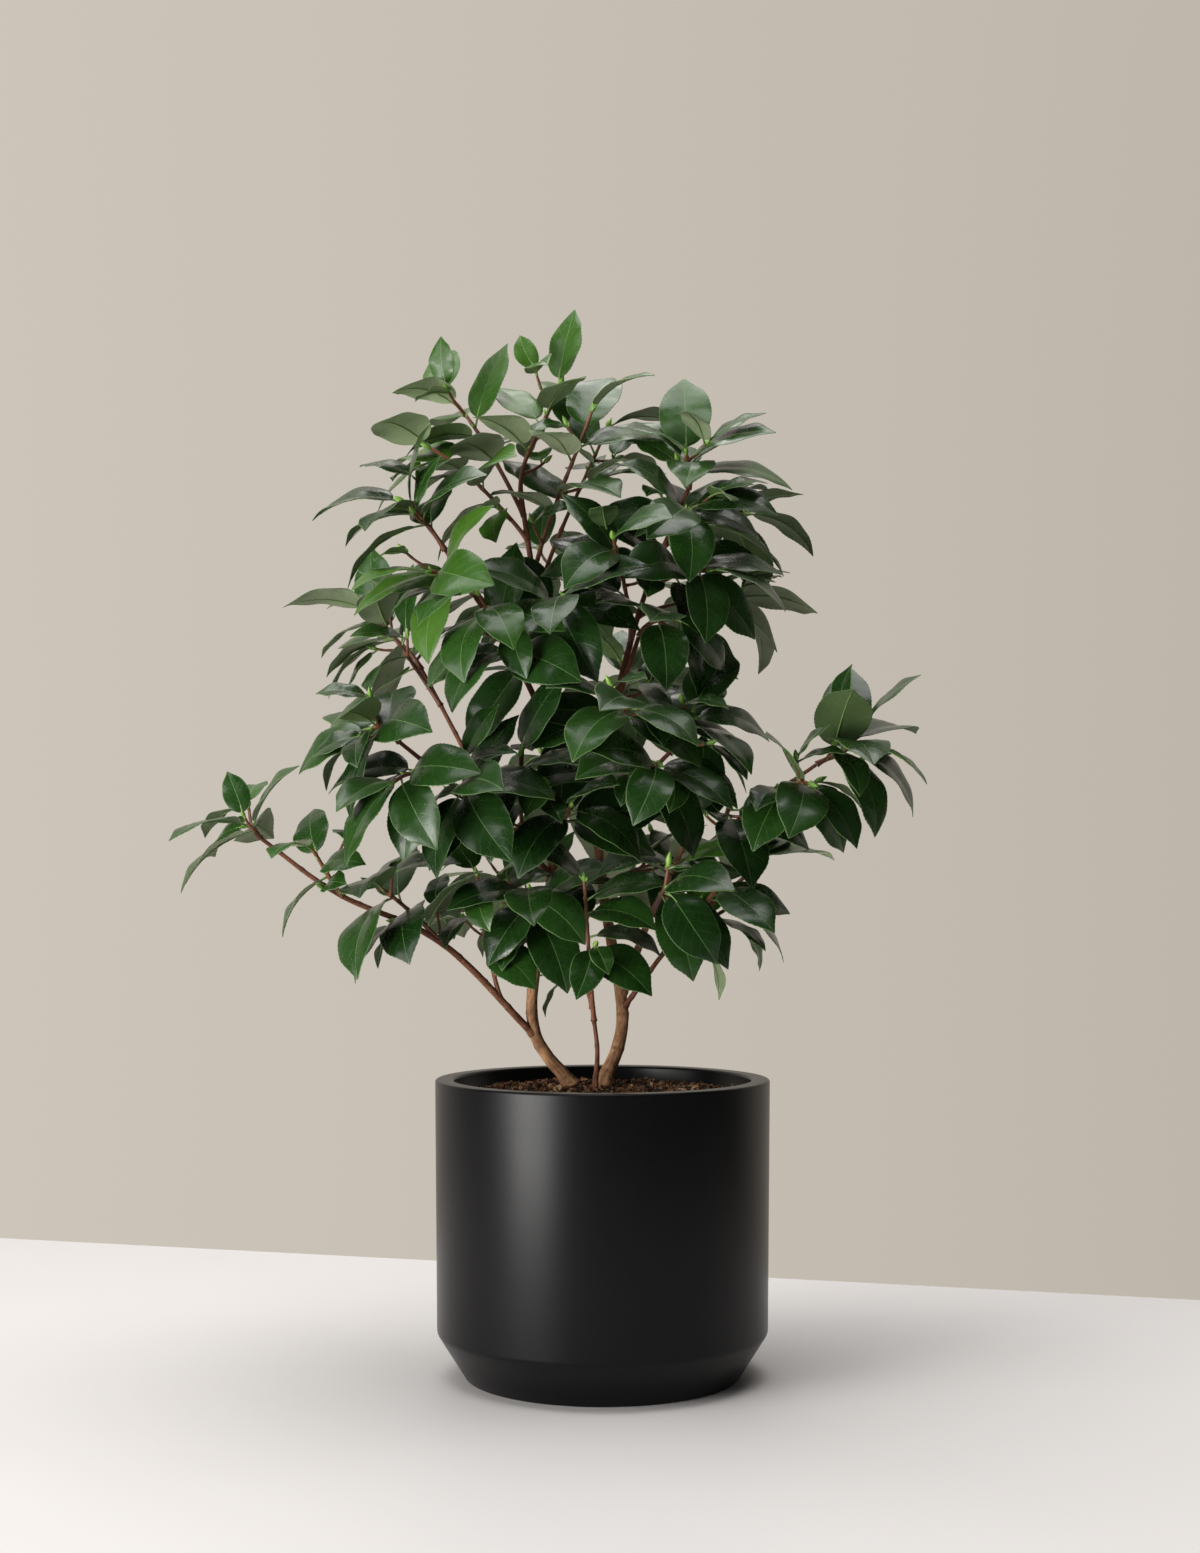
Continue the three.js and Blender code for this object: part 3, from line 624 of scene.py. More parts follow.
BLADE = dict(
    rows=40, base=0.6, base_fall=0.75, rib=(0.36, 0.13), rib_most=0.6, edge=0.5, edge_from=0.6,
    columns=(0, 0.33, 0.68, 1), tooth=0.42, tooth_full=6, thick=(0.5, 0.3), fold=(0.1, 0.26),
    curl=0.12, wave=0.9, waves=1.6, wave_apart=0.8, pillow=0.16, veins=7.5, slant=1.9, twist=9,
    sweep=0.05, roundness=(0.56, 0.78), point=0.42, point_from=0.72,
)
UPPER, UNDER, RIB, EDGE = range(4)


def outline(along):
    """Half width of a blade along its length, as a share of the widest: round at its foot, drawn out
    to its tip."""
    foot, tip = BLADE["roundness"]
    shape = along ** foot * (1 - along) ** tip
    widest = foot / (foot + tip)
    near_tip = np.clip((along - BLADE["point_from"]) / (1 - BLADE["point_from"]), 0, 1)
    drawn = 1 - BLADE["point"] * near_tip ** 2 * (3 - 2 * near_tip)
    return drawn * shape / (widest ** foot * (1 - widest) ** tip)


def blade_columns(along, half):
    """How far each column of a blade's grid runs from the midrib, from one toothed edge to the other."""
    teeth = BLADE["tooth"] * (np.arange(len(along)) % 2) * np.clip(half / BLADE["tooth_full"], 0, 1)
    rib = np.minimum(mix(BLADE["rib"], along), half * BLADE["rib_most"])
    edge = np.maximum(half - BLADE["edge"] - teeth, rib + (half - rib) * BLADE["edge_from"])
    inner = [rib + (edge - rib) * part for part in BLADE["columns"]]
    right = np.stack(inner + [half - teeth], axis=1)
    return np.concatenate((-right[:, ::-1], right), axis=1)


def blade_lift(along, half, share, chance):
    """How far the upper side stands over a flat blade: folded, curled down, waved and pillowed."""
    spread = np.abs(share)
    lift = half[:, None] * (mix(BLADE["fold"], chance[0]) * spread - BLADE["curl"] * spread ** 3)
    phase = 2 * math.pi * chance[1]
    waves = along[:, None] * (BLADE["waves"] + chance[2])
    ripple = np.sin(2 * math.pi * waves + phase + np.sign(share) * BLADE["wave_apart"])
    swell = np.sin(math.pi * along)[:, None]
    lift = lift + BLADE["wave"] * ripple * spread ** 2 * swell
    vein = np.cos(2 * math.pi * (along[:, None] * BLADE["veins"] - BLADE["slant"] * spread))
    return lift - BLADE["pillow"] * vein * np.sin(math.pi * np.clip(spread, 0, 1)) * swell


def shell_faces(rows, columns):
    """The faces that close two grids into a thin shell, the kind of each, and which are its rims."""
    size = rows * columns
    column = np.tile(np.arange(columns - 1), rows - 1)
    middle = columns // 2 - 1
    kinds = np.where(column == middle, RIB, UPPER)
    kinds = np.where((column == 0) | (column == columns - 2), EDGE, kinds)
    under_kinds = np.where(column == middle, RIB, UNDER)
    left = np.arange(rows - 1) * columns
    right = left + columns - 1
    foot = np.arange(columns - 1)
    foot_rim = np.stack((foot, foot + 1, foot + 1 + size, foot + size), axis=1)
    rims = np.concatenate((
        np.stack((left, left + size, left + size + columns, left + columns), axis=1),
        np.stack((right, right + columns, right + size + columns, right + size), axis=1),
        foot_rim,
        foot_rim[:, ::-1] + (rows - 1) * columns,
    ))
    faces = np.concatenate((grid_faces(rows, columns), grid_faces(rows, columns, size, True), rims))
    kinds = np.concatenate((kinds, under_kinds, np.full(len(rims), EDGE)))
    return faces, kinds, np.arange(len(faces)) >= len(faces) - len(rims)


def add_leaf(bundle, leaf, seed):
    """One blade as a thin closed shell: upper side, underside, midrib and toothed edge."""
    chance = [draw(seed, index) for index in range(6)]
    along = np.linspace(0, 1, BLADE["rows"])
    blade = leaf.length * (1 - LEAF["petiole"])
    half = outline(along) * LEAF["width"] * blade / 2
    half = np.maximum(half, BLADE["base"] * (1 - BLADE["base_fall"] * along))
    across = blade_columns(along, half)
    share = across / half[:, None]
    lift = blade_lift(along, half, share, chance)
    spots, rises = leaf.midrib(LEAF["petiole"] + (1 - LEAF["petiole"]) * along)
    bow = BLADE["sweep"] * (chance[3] - 0.5) * 2 * blade * np.sin(math.pi * along)
    spots = spots + leaf.side * bow[:, None]
    twist = math.radians(BLADE["twist"]) * (chance[4] - 0.5) * 2 * along
    side = leaf.side * np.cos(twist)[:, None] + rises * np.sin(twist)[:, None]
    rise = rises * np.cos(twist)[:, None] - leaf.side * np.sin(twist)[:, None]
    upper = spots[:, None] + side[:, None] * across[..., None] + rise[:, None] * lift[..., None]
    under = upper - rise[:, None] * mix(BLADE["thick"], np.abs(share))[..., None]
    points = np.concatenate((upper.reshape(-1, 3), under.reshape(-1, 3)))
    faces, kinds, flat = shell_faces(*across.shape)
    uv = np.broadcast_arrays(np.clip((share + 1) / 2, 0, 1), along[:, None])
    uv = np.stack(uv, axis=2).reshape(-1, 2)
    bundle.add(points, faces, kinds, flat, np.concatenate((uv, uv)), chance[5])


# Radius of a leaf's stalk, and how deep it lies under the midrib, at shares of the leaf.
STALK = dict(sides=6, under_blade=(0.3, 0.9), radii=(1.0, 0.8, 0.6, 0.18), sink=(0, 0.2, 0.55, 0.45))


def add_stalk(bundle, leaf, tone):
    """The leaf's own stalk, which runs on under the blade as its midrib."""
    shares = np.concatenate((np.linspace(0, LEAF["petiole"], 4), np.linspace(0.2, 0.9, 6)))
    spots, rises = leaf.midrib(shares)
    knots = (0, LEAF["petiole"], *STALK["under_blade"])
    radii = np.interp(shares, knots, STALK["radii"])
    sink = np.interp(shares, knots, STALK["sink"])
    add_tube(bundle, spots - rises * sink[:, None], radii, STALK["sides"], tone)


# ---- shoots and buds ----


# Each pair is how high a swelling stands and how many steps of the shoot it reaches.
SWELLING = dict(step=2.5, least_steps=8, sides=8, ring=(0.35, 1.2), foot=(0.9, 1.5))
BUD = dict(
    steps=8, sides=8, foot=0.5, tip=0.04, fullness=(0.7, 0.8), length=(7, 12), slimness=0.21,
    side_share=0.35, side_length=4.5, side_radius=1.1, side_lean=1.2,
)


def add_shoot(bundle, shoot, seed):
    """A shoot with a swollen ring at each place where a leaf springs."""
    reach = np.linalg.norm(shoot.control[3] - shoot.control[0])
    steps = max(SWELLING["least_steps"], int(reach / SWELLING["step"]))
    path = bezier(*shoot.control, steps)
    share = np.linspace(0, 1, steps + 1)
    radii = mix((shoot.foot, shoot.tip), share)
    high, wide = SWELLING["ring"]
    for index in range(shoot.leaves):
        place = mix(LEAF["places"], ((index + 0.5) / shoot.leaves) ** LEAF["crowding"])
        radii = radii + high * np.exp(-((share - place) * steps / wide) ** 2)
    high, wide = SWELLING["foot"]
    radii = radii + high * np.exp(-share * steps / wide)
    add_tube(bundle, path, radii, SWELLING["sides"], draw(seed, 3))


def add_bud(bundle, spot, heading, length, radius, tone):
    """A pointed bud, round at its foot."""
    share = np.linspace(0, 1, BUD["steps"])
    path = spot + heading * (share * length)[:, None]
    low, full = BUD["fullness"]
    radii = radius * np.maximum(np.sin(math.pi * share ** low) ** full, BUD["tip"])
    radii[0] = radius * BUD["foot"]
    add_tube(bundle, path, radii, BUD["sides"], tone)


# ---- stems and boughs ----

# Each grain is how fine the relief is round the limb and how long along it. Each crack is how sharp
# it is and its share of the depth.
BARK = dict(
    sides=22, ring=1.5, old_radius=6, lumps=0.055, lump_grain=(0.8, 14),
    cracks=0.32, long_grain=(3.2, 16), fine_grain=(7, 7), long_crack=(5, 0.7), fine_crack=(6, 0.3),
    first_node=(6, 16), node_gap=(17, 33), node_high=0.42, node_width=1.7, node_round=(0.6, 0.4),
    lobes=0.42, lobe_count=3, collar=1.1, collar_reach=3.5, collar_at=1.4,
)


def limb_radius(limb, place, nodes, angle, share):
    """Radius with the bark's relief: lumps, cracks along the limb, leaf scars and a lobed foot."""
    radius = limb.radius(share)
    x, y = math.cos(angle), math.sin(angle)
    seed = len(limb.name) * 7.3 + limb.foot * 31
    fine, long = BARK["lump_grain"]
    lumps = noise.noise((x * fine + seed, y * fine, place / long))
    crack = 0
    for kind in ("long", "fine"):
        fine, long = BARK[f"{kind}_grain"]
        sharp, depth = BARK[f"{kind}_crack"]
        crack += max(0, 1 - abs(noise.noise((x * fine, y * fine + seed, place / long))) * sharp) * depth
    age = min(1, radius / BARK["old_radius"])
    scars = sum(math.exp(-((place - node) / BARK["node_width"]) ** 2) for node in nodes)
    even, one_side = BARK["node_round"]
    relief = radius * BARK["lumps"] * lumps - BARK["cracks"] * crack * age
    relief += BARK["node_high"] * scars * (even + one_side * math.cos(angle - nodes[0]))
    if limb.parent:
        relief += BARK["collar"] * math.exp(-(place / BARK["collar_reach"] - BARK["collar_at"]) ** 2)
    else:
        foot = math.exp(-place / Limb.FLARE_REACH)
        relief += limb.flare * BARK["lobes"] * foot * math.cos(BARK["lobe_count"] * angle + seed)
    return radius + relief, crack * age, min(1, scars)


def wrap_limb(shape, limb):
    """A grid wrapped round the limb's path, joined at its seam and closed at both ends."""
    rings = int(limb.length / BARK["ring"])
    path = np.array([limb.spot(step / rings) for step in range(rings + 1)])
    along = distances_along(path)
    across, other = frames_along(path)
    nodes = [mix(BARK["first_node"], draw(limb.length, 1))]
    while nodes[-1] < along[-1]:
        nodes.append(nodes[-1] + mix(BARK["node_gap"], draw(limb.length, len(nodes) + 1)))
    grain = shape.verts.layers.float_vector["grain"]
    wear = shape.verts.layers.float_vector["wear"]
    made = bmesh.ops.create_grid(shape, x_segments=BARK["sides"], y_segments=rings, size=0.5)
    for vertex in made["verts"]:
        angle = 2 * math.pi * (vertex.co.x + 0.5)
        ring = round((vertex.co.y + 0.5) * rings)
        place = along[ring]
        radius, crack, scar = limb_radius(limb, place, nodes, angle, ring / rings)
        out = across[ring] * math.cos(angle) + other[ring] * math.sin(angle)
        vertex[grain] = Vector((radius * math.cos(angle), radius * math.sin(angle), place)) * MM
        # Crack depth, which the bark darkens as painted shade, then leaf scar and share of old wood.
        vertex[wear] = (crack, scar, min(1, limb.radius(ring / rings) / BARK["old_radius"]))
        vertex.co = Vector(path[ring] + out * radius) * MM
    bmesh.ops.remove_doubles(shape, verts=made["verts"], dist=1e-6)
    open_edges = [edge for edge in shape.edges if edge.is_boundary]
    bmesh.ops.holes_fill(shape, edges=open_edges, sides=0)


def finish_piece(shape, name, material, slot, *nodes):
    """Turns a bmesh into a smooth object that rides on the plant and stands for its solids."""
    bmesh.ops.recalc_face_normals(shape, faces=shape.faces)
    for face in shape.faces:
        face.smooth = True
    mesh = bpy.data.meshes.new(name)
    shape.to_mesh(mesh)
    shape.free()
    mesh.materials.append(material)
    piece = put(name, mesh)
    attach(piece, "root")
    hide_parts(*nodes)


def make_limbs(limbs, material):
    for name, members in (
        ("stems", STEMS),
        ("boughs", [name for name in limbs if name not in STEMS]),
    ):
        shape = bmesh.new()
        shape.verts.layers.float_vector.new("grain")
        shape.verts.layers.float_vector.new("wear")
        for member in members:
            wrap_limb(shape, limbs[member])
        finish_piece(shape, name, material, "bark", *members)


# ---- pot and soil ----


def spun(profile, rounds, steps):
    """A profile of (radius, height) with rounded corners, turned once round the upright axis."""
    shape = bmesh.new()
    corners = [shape.verts.new((radius * MM, 0, height * MM)) for radius, height in profile]
    for first, second in zip(corners, corners[1:]):
        shape.edges.new((first, second))
    for corner, offset in zip(corners, rounds):
        if offset:
            bmesh.ops.bevel(shape, geom=[corner], offset=offset * MM, segments=5, profile=0.5,
                            affect="VERTICES", material=-1)
    bmesh.ops.spin(shape, geom=shape.verts[:] + shape.edges[:], cent=(0, 0, 0), axis=(0, 0, 1),
                   angle=2 * math.pi, steps=steps, use_merge=True)
    bmesh.ops.remove_doubles(shape, verts=shape.verts, dist=1e-6)
    return shape


# The ring that the pot stands on round its hollow underside, the end of its inner wall in the soil,
# and how far each corner is rounded.
POT_RING = dict(width=8, slope=1, hollow=1.2)
POT_INSIDE = dict(lean=0.5, below=12, ledge=6, depth=14)
POT_ROUNDS = dict(ring=0.6, foot=1.2, shoulder=2.2, rim=1.8, lip=2.2)


def make_pot(material):
    inner = POT["rim"] - POT["wall"]
    ring = POT["foot"] - POT_RING["width"]
    end = SOIL["edge_level"] - POT_INSIDE["below"]
    bottom = SOIL["edge_level"] - POT_INSIDE["depth"]
    rows = [
        (0, POT_RING["hollow"], 0),
        (ring - POT_RING["slope"], POT_RING["hollow"], POT_ROUNDS["ring"]),
        (ring, 0, POT_ROUNDS["ring"]),
        (POT["foot"], 0, POT_ROUNDS["foot"]),
        (POT["shoulder"], POT["shoulder_height"], POT_ROUNDS["shoulder"]),
        (POT["rim"], POT["height"], POT_ROUNDS["rim"]),
        (inner, POT["height"], POT_ROUNDS["lip"]),
        (inner - POT_INSIDE["lean"], end, 0),
        (inner - POT_INSIDE["ledge"], bottom, 0),
        (0, bottom, 0),
    ]
    shape = spun([row[:2] for row in rows], [row[2] for row in rows], 160)
    finish_piece(shape, "pot_shell", material, "pot", "pot")


SOIL_BED = dict(gap=0.8, rings=46, steps=110, depth=10, top_from=5)
# Each noise is how high it stands, how wide its waves are, and its seed.
SOIL_TOP = dict(wide=(1.7, 22, 1.0), fine=(0.9, 6, 4.0), fall=1.8, fall_reach=45, fall_bend=1.5)
CRUMBS = dict(
    count=8200, size=(0.7, 2.7), big=0.05, big_size=(3, 6.5), seed=11, width=(0.35, 0.85),
    height=(0.25, 0.7), corner=0.16, rough=0.09, tilt=0.45, sunk=0.25, spread=0.985,
)


def soil_rise(x, y):
    """Height of the soil's top over its level: uneven, and lower towards the wall."""
    waves = [
        high * noise.noise((x / wide, y / wide, seed))
        for high, wide, seed in (SOIL_TOP["wide"], SOIL_TOP["fine"])
    ]
    past = max(0, (math.hypot(x, y) - SOIL["flat"]) / SOIL_TOP["fall_reach"])
    return sum(waves) - SOIL_TOP["fall"] * past ** SOIL_TOP["fall_bend"]


def make_soil(material):
    """The soil's uneven top, from the middle to the pot's wall."""
    edge = POT["rim"] - POT["wall"] - SOIL_BED["gap"]
    rings = SOIL_BED["rings"]
    bottom = SOIL["edge_level"] - SOIL_BED["depth"]
    profile = [(0.0, SOIL["level"])]
    profile += [(edge * ring / rings, SOIL["level"]) for ring in range(1, rings + 1)]
    profile += [(edge, bottom), (0, bottom)]
    shape = spun(profile, [0] * len(profile), SOIL_BED["steps"])
    for vertex in shape.verts:
        if vertex.co.z > (SOIL["edge_level"] - SOIL_BED["top_from"]) * MM:
            vertex.co.z += soil_rise(vertex.co.x / MM, vertex.co.y / MM) * MM
    finish_piece(shape, "soil_bed", material, "soil", "soil")


def crumb_block():
    """The points and faces of a block with its edges cut off, which every crumb starts as."""
    block = bmesh.new()
    bmesh.ops.create_cube(block, size=1.0)
    bmesh.ops.bevel(block, geom=block.edges[:], offset=CRUMBS["corner"], segments=1, profile=0.5,
                    affect="EDGES", material=-1)
    points = np.array([vertex.co for vertex in block.verts])
    faces = [[vertex.index for vertex in face.verts] for face in block.faces]
    block.free()
    return points, np.array([face if len(face) == 4 else face + face[-1:] for face in faces])


def make_crumbs(materials):
    """Loose crumbs and bark chips lying all over the soil."""
    edge = (POT["rim"] - POT["wall"] - SOIL_BED["gap"]) * CRUMBS["spread"]
    rng = np.random.default_rng(CRUMBS["seed"])
    block, faces = crumb_block()
    bundles = {"soil_crumbs": Bundle(), "bark_chips": Bundle()}
    kinds = len(materials) // len(bundles)
    for _ in range(CRUMBS["count"]):
        radius = edge * math.sqrt(rng.random())
        angle = 2 * math.pi * rng.random()
        size = mix(CRUMBS["size"], rng.random() ** 2)
        if rng.random() < CRUMBS["big"]:
            size = mix(CRUMBS["big_size"], rng.random() ** 2)
        width = mix(CRUMBS["width"], rng.random())
        height = mix(CRUMBS["height"], rng.random())
        scale = size * np.array((1, width, height))
        points = (block + rng.normal(0, CRUMBS["rough"], block.shape)) * scale
        yaw = 2 * math.pi * rng.random()
        turn = turned_matrix(yaw, rng.normal(0, CRUMBS["tilt"]), rng.normal(0, CRUMBS["tilt"]))
        x, y = radius * math.cos(angle), radius * math.sin(angle)
        z = SOIL["level"] + soil_rise(x, y) + scale[2] * CRUMBS["sunk"]
        points = points @ turn.T + (x, y, z)
        tone = min(len(materials) - 1, int(rng.random() * len(materials)))
        bundle = list(bundles.values())[tone // kinds]
        bundle.add(points, faces, np.full(len(faces), tone % kinds), np.ones(len(faces), bool),
                   np.zeros((len(points), 2)), rng.random())
    for order, (name, bundle) in enumerate(bundles.items()):
        piece = bundle.make(name, materials[order * kinds:(order + 1) * kinds])


def turned_matrix(yaw, pitch, roll):
    a, b, c = math.cos(yaw), math.cos(pitch), math.cos(roll)
    d, e, f = math.sin(yaw), math.sin(pitch), math.sin(roll)
    return np.array((
        (a * b, a * e * f - d * c, a * e * c + d * f),
        (d * b, d * e * f + a * c, d * e * c - a * f),
        (-e, b * f, b * c),
    ))


# ---- materials ----


class Nodes:
    """A node tree being built, with short ways to add to it."""

    def __init__(self, tree):
        self.tree = tree

    def node(self, kind, **settings):
        made = self.tree.nodes.new(kind)
        for key, value in settings.items():
            setattr(made, key, value)
        return made

    def link(self, value, socket):
        if isinstance(value, bpy.types.NodeSocket):
            self.tree.links.new(value, socket)
        else:
            socket.default_value = value

    def math(self, operation, first, second=0.0):
        made = self.node("ShaderNodeMath", operation=operation)
        self.link(first, made.inputs[0])
        self.link(second, made.inputs[1])
        return made.outputs[0]

    def times(self, first, second):
        return self.math("MULTIPLY", first, second)

    def plus(self, first, second):
        return self.math("ADD", first, second)

    def minus(self, first, second):
        return self.math("SUBTRACT", first, second)

    def split(self, vector):
        made = self.node("ShaderNodeSeparateXYZ")
        self.link(vector, made.inputs[0])
        return made.outputs

    def span(self, value, low, high, to_low=0.0, to_high=1.0):
        made = self.node("ShaderNodeMapRange")
        self.link(value, made.inputs["Value"])
        ends = {"From Min": low, "From Max": high, "To Min": to_low, "To Max": to_high}
        for socket, number in ends.items():
            made.inputs[socket].default_value = number
        return made.outputs["Result"]

    def mix(self, share, first, second, way="MIX"):
        made = self.node("ShaderNodeMix", data_type="RGBA", blend_type=way)
        self.link(share, made.inputs["Factor"])
        for socket, colour in (("A", first), ("B", second)):
            plain = not isinstance(colour, bpy.types.NodeSocket)
            self.link((*colour, 1) if plain else colour, made.inputs[socket])
        return made.outputs["Result"]


class Surface(Nodes):
    """A material being built. Its patterns lie in object space, or on the piece's own UV map and
    attributes."""

    def __init__(self, name, roughness, specular=0.5, coat=0.0, coat_roughness=0.2):
        self.material = bpy.data.materials.new(name)
        self.material.use_nodes = True
        super().__init__(self.material.node_tree)
        self.shader = self.tree.nodes["Principled BSDF"]
        self.set("Roughness", roughness)
        self.set("Specular IOR Level", specular)
        self.set("Coat Weight", coat)
        self.set("Coat Roughness", coat_roughness)
        self.object_space = self.node("ShaderNodeTexCoord").outputs["Object"]

    def set(self, socket, value):
        self.link(value, self.shader.inputs[socket])

    def noise(self, scale, detail=3.0, roughness=0.55, where=None, stretch=None):
        where = where or self.object_space
        if stretch:
            mapping = self.node("ShaderNodeMapping")
            self.link(where, mapping.inputs["Vector"])
            mapping.inputs["Scale"].default_value = stretch
            where = mapping.outputs["Vector"]
        made = self.node("ShaderNodeTexNoise")
        self.link(where, made.inputs["Vector"])
        made.inputs["Scale"].default_value = scale
        made.inputs["Detail"].default_value = detail
        made.inputs["Roughness"].default_value = roughness
        return made.outputs["Fac"]

    def ramp(self, value, *stops):
        made = self.node("ShaderNodeValToRGB")
        for band, (place, colour) in zip(made.color_ramp.elements, stops):
            band.position = place
            band.color = (*colour, 1)
        self.link(value, made.inputs["Fac"])
        return made.outputs["Color"]

    def attribute(self, name, output):
        return self.node("ShaderNodeAttribute", attribute_name=name).outputs[output]

    def bump(self, height, strength, distance):
        made = self.node("ShaderNodeBump")
        self.link(height, made.inputs["Height"])
        made.inputs["Strength"].default_value = strength
        made.inputs["Distance"].default_value = distance
        self.set("Normal", made.outputs["Normal"])


def leaf_veins(surface):
    """Fine side veins that slant from the midrib to the leaf's edge, 1 on a vein and 0 between."""
    place = surface.split(surface.node("ShaderNodeUVMap", uv_map="growth").outputs["UV"])
    across = surface.math("ABSOLUTE", surface.minus(place["X"], 0.5))
    slanted = surface.times(across, 2 * BLADE["slant"])
    row = surface.minus(surface.times(place["Y"], BLADE["veins"]), slanted)
    wander = surface.times(surface.noise(90, detail=2), 0.35)
    wave = surface.math("COSINE", surface.times(surface.plus(row, wander), 2 * math.pi))
    return surface.span(wave, 0.9, 1.0)


def leaf_drops(surface, tone):
    """Small round drops of water on some of the leaves: how high each stands, and 0 between them."""
    cells = surface.node("ShaderNodeTexVoronoi")
    surface.link(surface.object_space, cells.inputs["Vector"])
    cells.inputs["Scale"].default_value = 150
    dome = surface.span(cells.outputs["Distance"], 0.16, 0.04, 0.0, 4.0)
    wet = surface.span(tone, 0.62, 0.68)
    return surface.times(dome, wet)


def leaf_face(name, deep, light, vein, roughness, gloss):
    """The glossy upper side: mottled green, darker and lighter from leaf to leaf, faintly veined."""
    surface = Surface(name, roughness, specular=0.33, coat=gloss, coat_roughness=0.18)
    tone = surface.attribute("tone", "Fac")
    mottle = surface.noise(45, detail=4, roughness=0.6)
    share = surface.plus(surface.times(tone, 0.75), surface.times(mottle, 0.5))
    green = surface.ramp(surface.span(share, 0.15, 1.05), (0.0, deep), (1.0, light))
    veins = leaf_veins(surface)
    surface.set("Base Color", surface.mix(surface.times(veins, 0.22), green, vein))
    fine = surface.noise(620, roughness=0.6)
    sheen = surface.plus(surface.times(fine, 0.4), surface.times(mottle, 0.6))
    surface.set("Roughness", surface.span(sheen, 0.35, 0.65, roughness - 0.1, roughness + 0.12))
    pores = surface.minus(surface.times(fine, 0.35), surface.times(veins, 0.5))
    surface.bump(surface.plus(pores, leaf_drops(surface, tone)), strength=0.22, distance=0.0004)
    return surface.material


def leaf_back(name, deep, light):
    """The matt, paler underside. The palest ones, given to fresh and lighter leaves, are partly painted
    light shining through the leaf from behind.
    """
    surface = Surface(name, roughness=0.58, specular=0.35)
    share = surface.plus(surface.times(surface.attribute("tone", "Fac"), 0.6),
                         surface.times(surface.noise(60), 0.5))
    green = surface.ramp(surface.span(share, 0.1, 0.95), (0.0, deep), (1.0, light))
    veins = leaf_veins(surface)
    surface.set("Base Color", surface.mix(surface.times(veins, 0.3), green, light))
    surface.bump(veins, strength=0.3, distance=0.0004)
    return surface.material


def plain_growth(name, dark, light, roughness, scale=160):
    """Midribs, leaf edges, stalks and buds: a soft, slightly mottled green or red-brown."""
    surface = Surface(name, roughness)
    mottle = surface.noise(scale)
    share = surface.plus(surface.times(surface.attribute("tone", "Fac"), 0.5), surface.times(mottle, 0.6))
    surface.set("Base Color", surface.ramp(surface.span(share, 0.15, 0.95), (0.0, dark), (1.0, light)))
    surface.bump(mottle, strength=0.25, distance=0.0003)
    return surface.material


def bark_material():
    """Tan-brown bark, paler and greyer on the old foot, redder and smoother on young wood, with painted
    shade in its cracks and darker leaf scars.
    """
    surface = Surface("bark", roughness=0.72, specular=0.3)
    grain = surface.attribute("grain", "Vector")
    cracked, scarred, old_wood = surface.split(surface.attribute("wear", "Vector"))
    streaks = surface.noise(520, detail=4, roughness=0.6, where=grain, stretch=(1, 1, 0.22))
    patches = surface.noise(120, where=grain, stretch=(1, 1, 0.5))
    young = surface.ramp(patches, (0.3, (0.12, 0.04, 0.022)), (0.7, (0.28, 0.115, 0.06)))
    old = surface.ramp(patches, (0.3, (0.3, 0.145, 0.07)), (0.7, (0.6, 0.34, 0.17)))
    base = surface.mix(surface.span(old_wood, 0.42, 0.82), young, old)
    dark = surface.mix(surface.span(streaks, 0.3, 0.62), (0.5, 0.44, 0.4), (1.0, 1.0, 1.0))
    base = surface.mix(1.0, base, dark, "MULTIPLY")
    scars = surface.times(scarred, surface.span(streaks, 0.42, 0.6))
    # Painted shade: the cracks are darkened nearly to black, where shade would lie in them; the leaf scars
    # are darkened as their own colour.
    crack_shade_and_scars = surface.math("MAXIMUM", surface.span(cracked, 0.15, 0.8), scars)
    surface.set("Base Color", surface.mix(surface.times(crack_shade_and_scars, 0.72), base, (0.035, 0.018, 0.012)))
    surface.set("Roughness", surface.span(streaks, 0.3, 0.7, 0.62, 0.85))
    surface.bump(streaks, strength=0.55, distance=0.0006)
    return surface.material


def pot_material():
    """Matt black moulded plastic with a soft sheen and a very fine grain."""
    surface = Surface("pot_black", roughness=0.32, specular=0.18)
    cloud = surface.noise(9)
    grain = surface.noise(1500, detail=2)
    black = surface.ramp(cloud, (0.3, (0.0022, 0.0021, 0.0024)), (0.7, (0.0032, 0.003, 0.0034)))
    surface.set("Base Color", black)
    blend = surface.plus(surface.times(cloud, 0.6), surface.times(grain, 0.4))
    surface.set("Roughness", surface.span(blend, 0.3, 0.7, 0.3, 0.35))
    surface.bump(grain, strength=0.06, distance=0.0002)
    return surface.material


def soil_material(name, dark, light):
    surface = Surface(name, roughness=0.95, specular=0.2)
    rough = surface.noise(420, detail=5, roughness=0.7)
    surface.set("Base Color", surface.ramp(rough, (0.3, dark), (0.75, light)))
    surface.bump(rough, strength=0.8, distance=0.0012)
    return surface.material


def stage_material():
    surface = Surface("pale_floor", roughness=0.55, specular=0.3)
    soft = surface.noise(3, detail=2)
    surface.set("Base Color", surface.ramp(soft, (0.2, (0.81, 0.785, 0.775)), (0.8, (0.84, 0.815, 0.805))))
    return surface.material


# ---- the crown ----

LEAVES_A_PIECE = 118


def tone_of(spray):
    if spray.name in FRESH:
        return "fresh"
    return "lighter" if spray.name in LIGHTER else "deep"


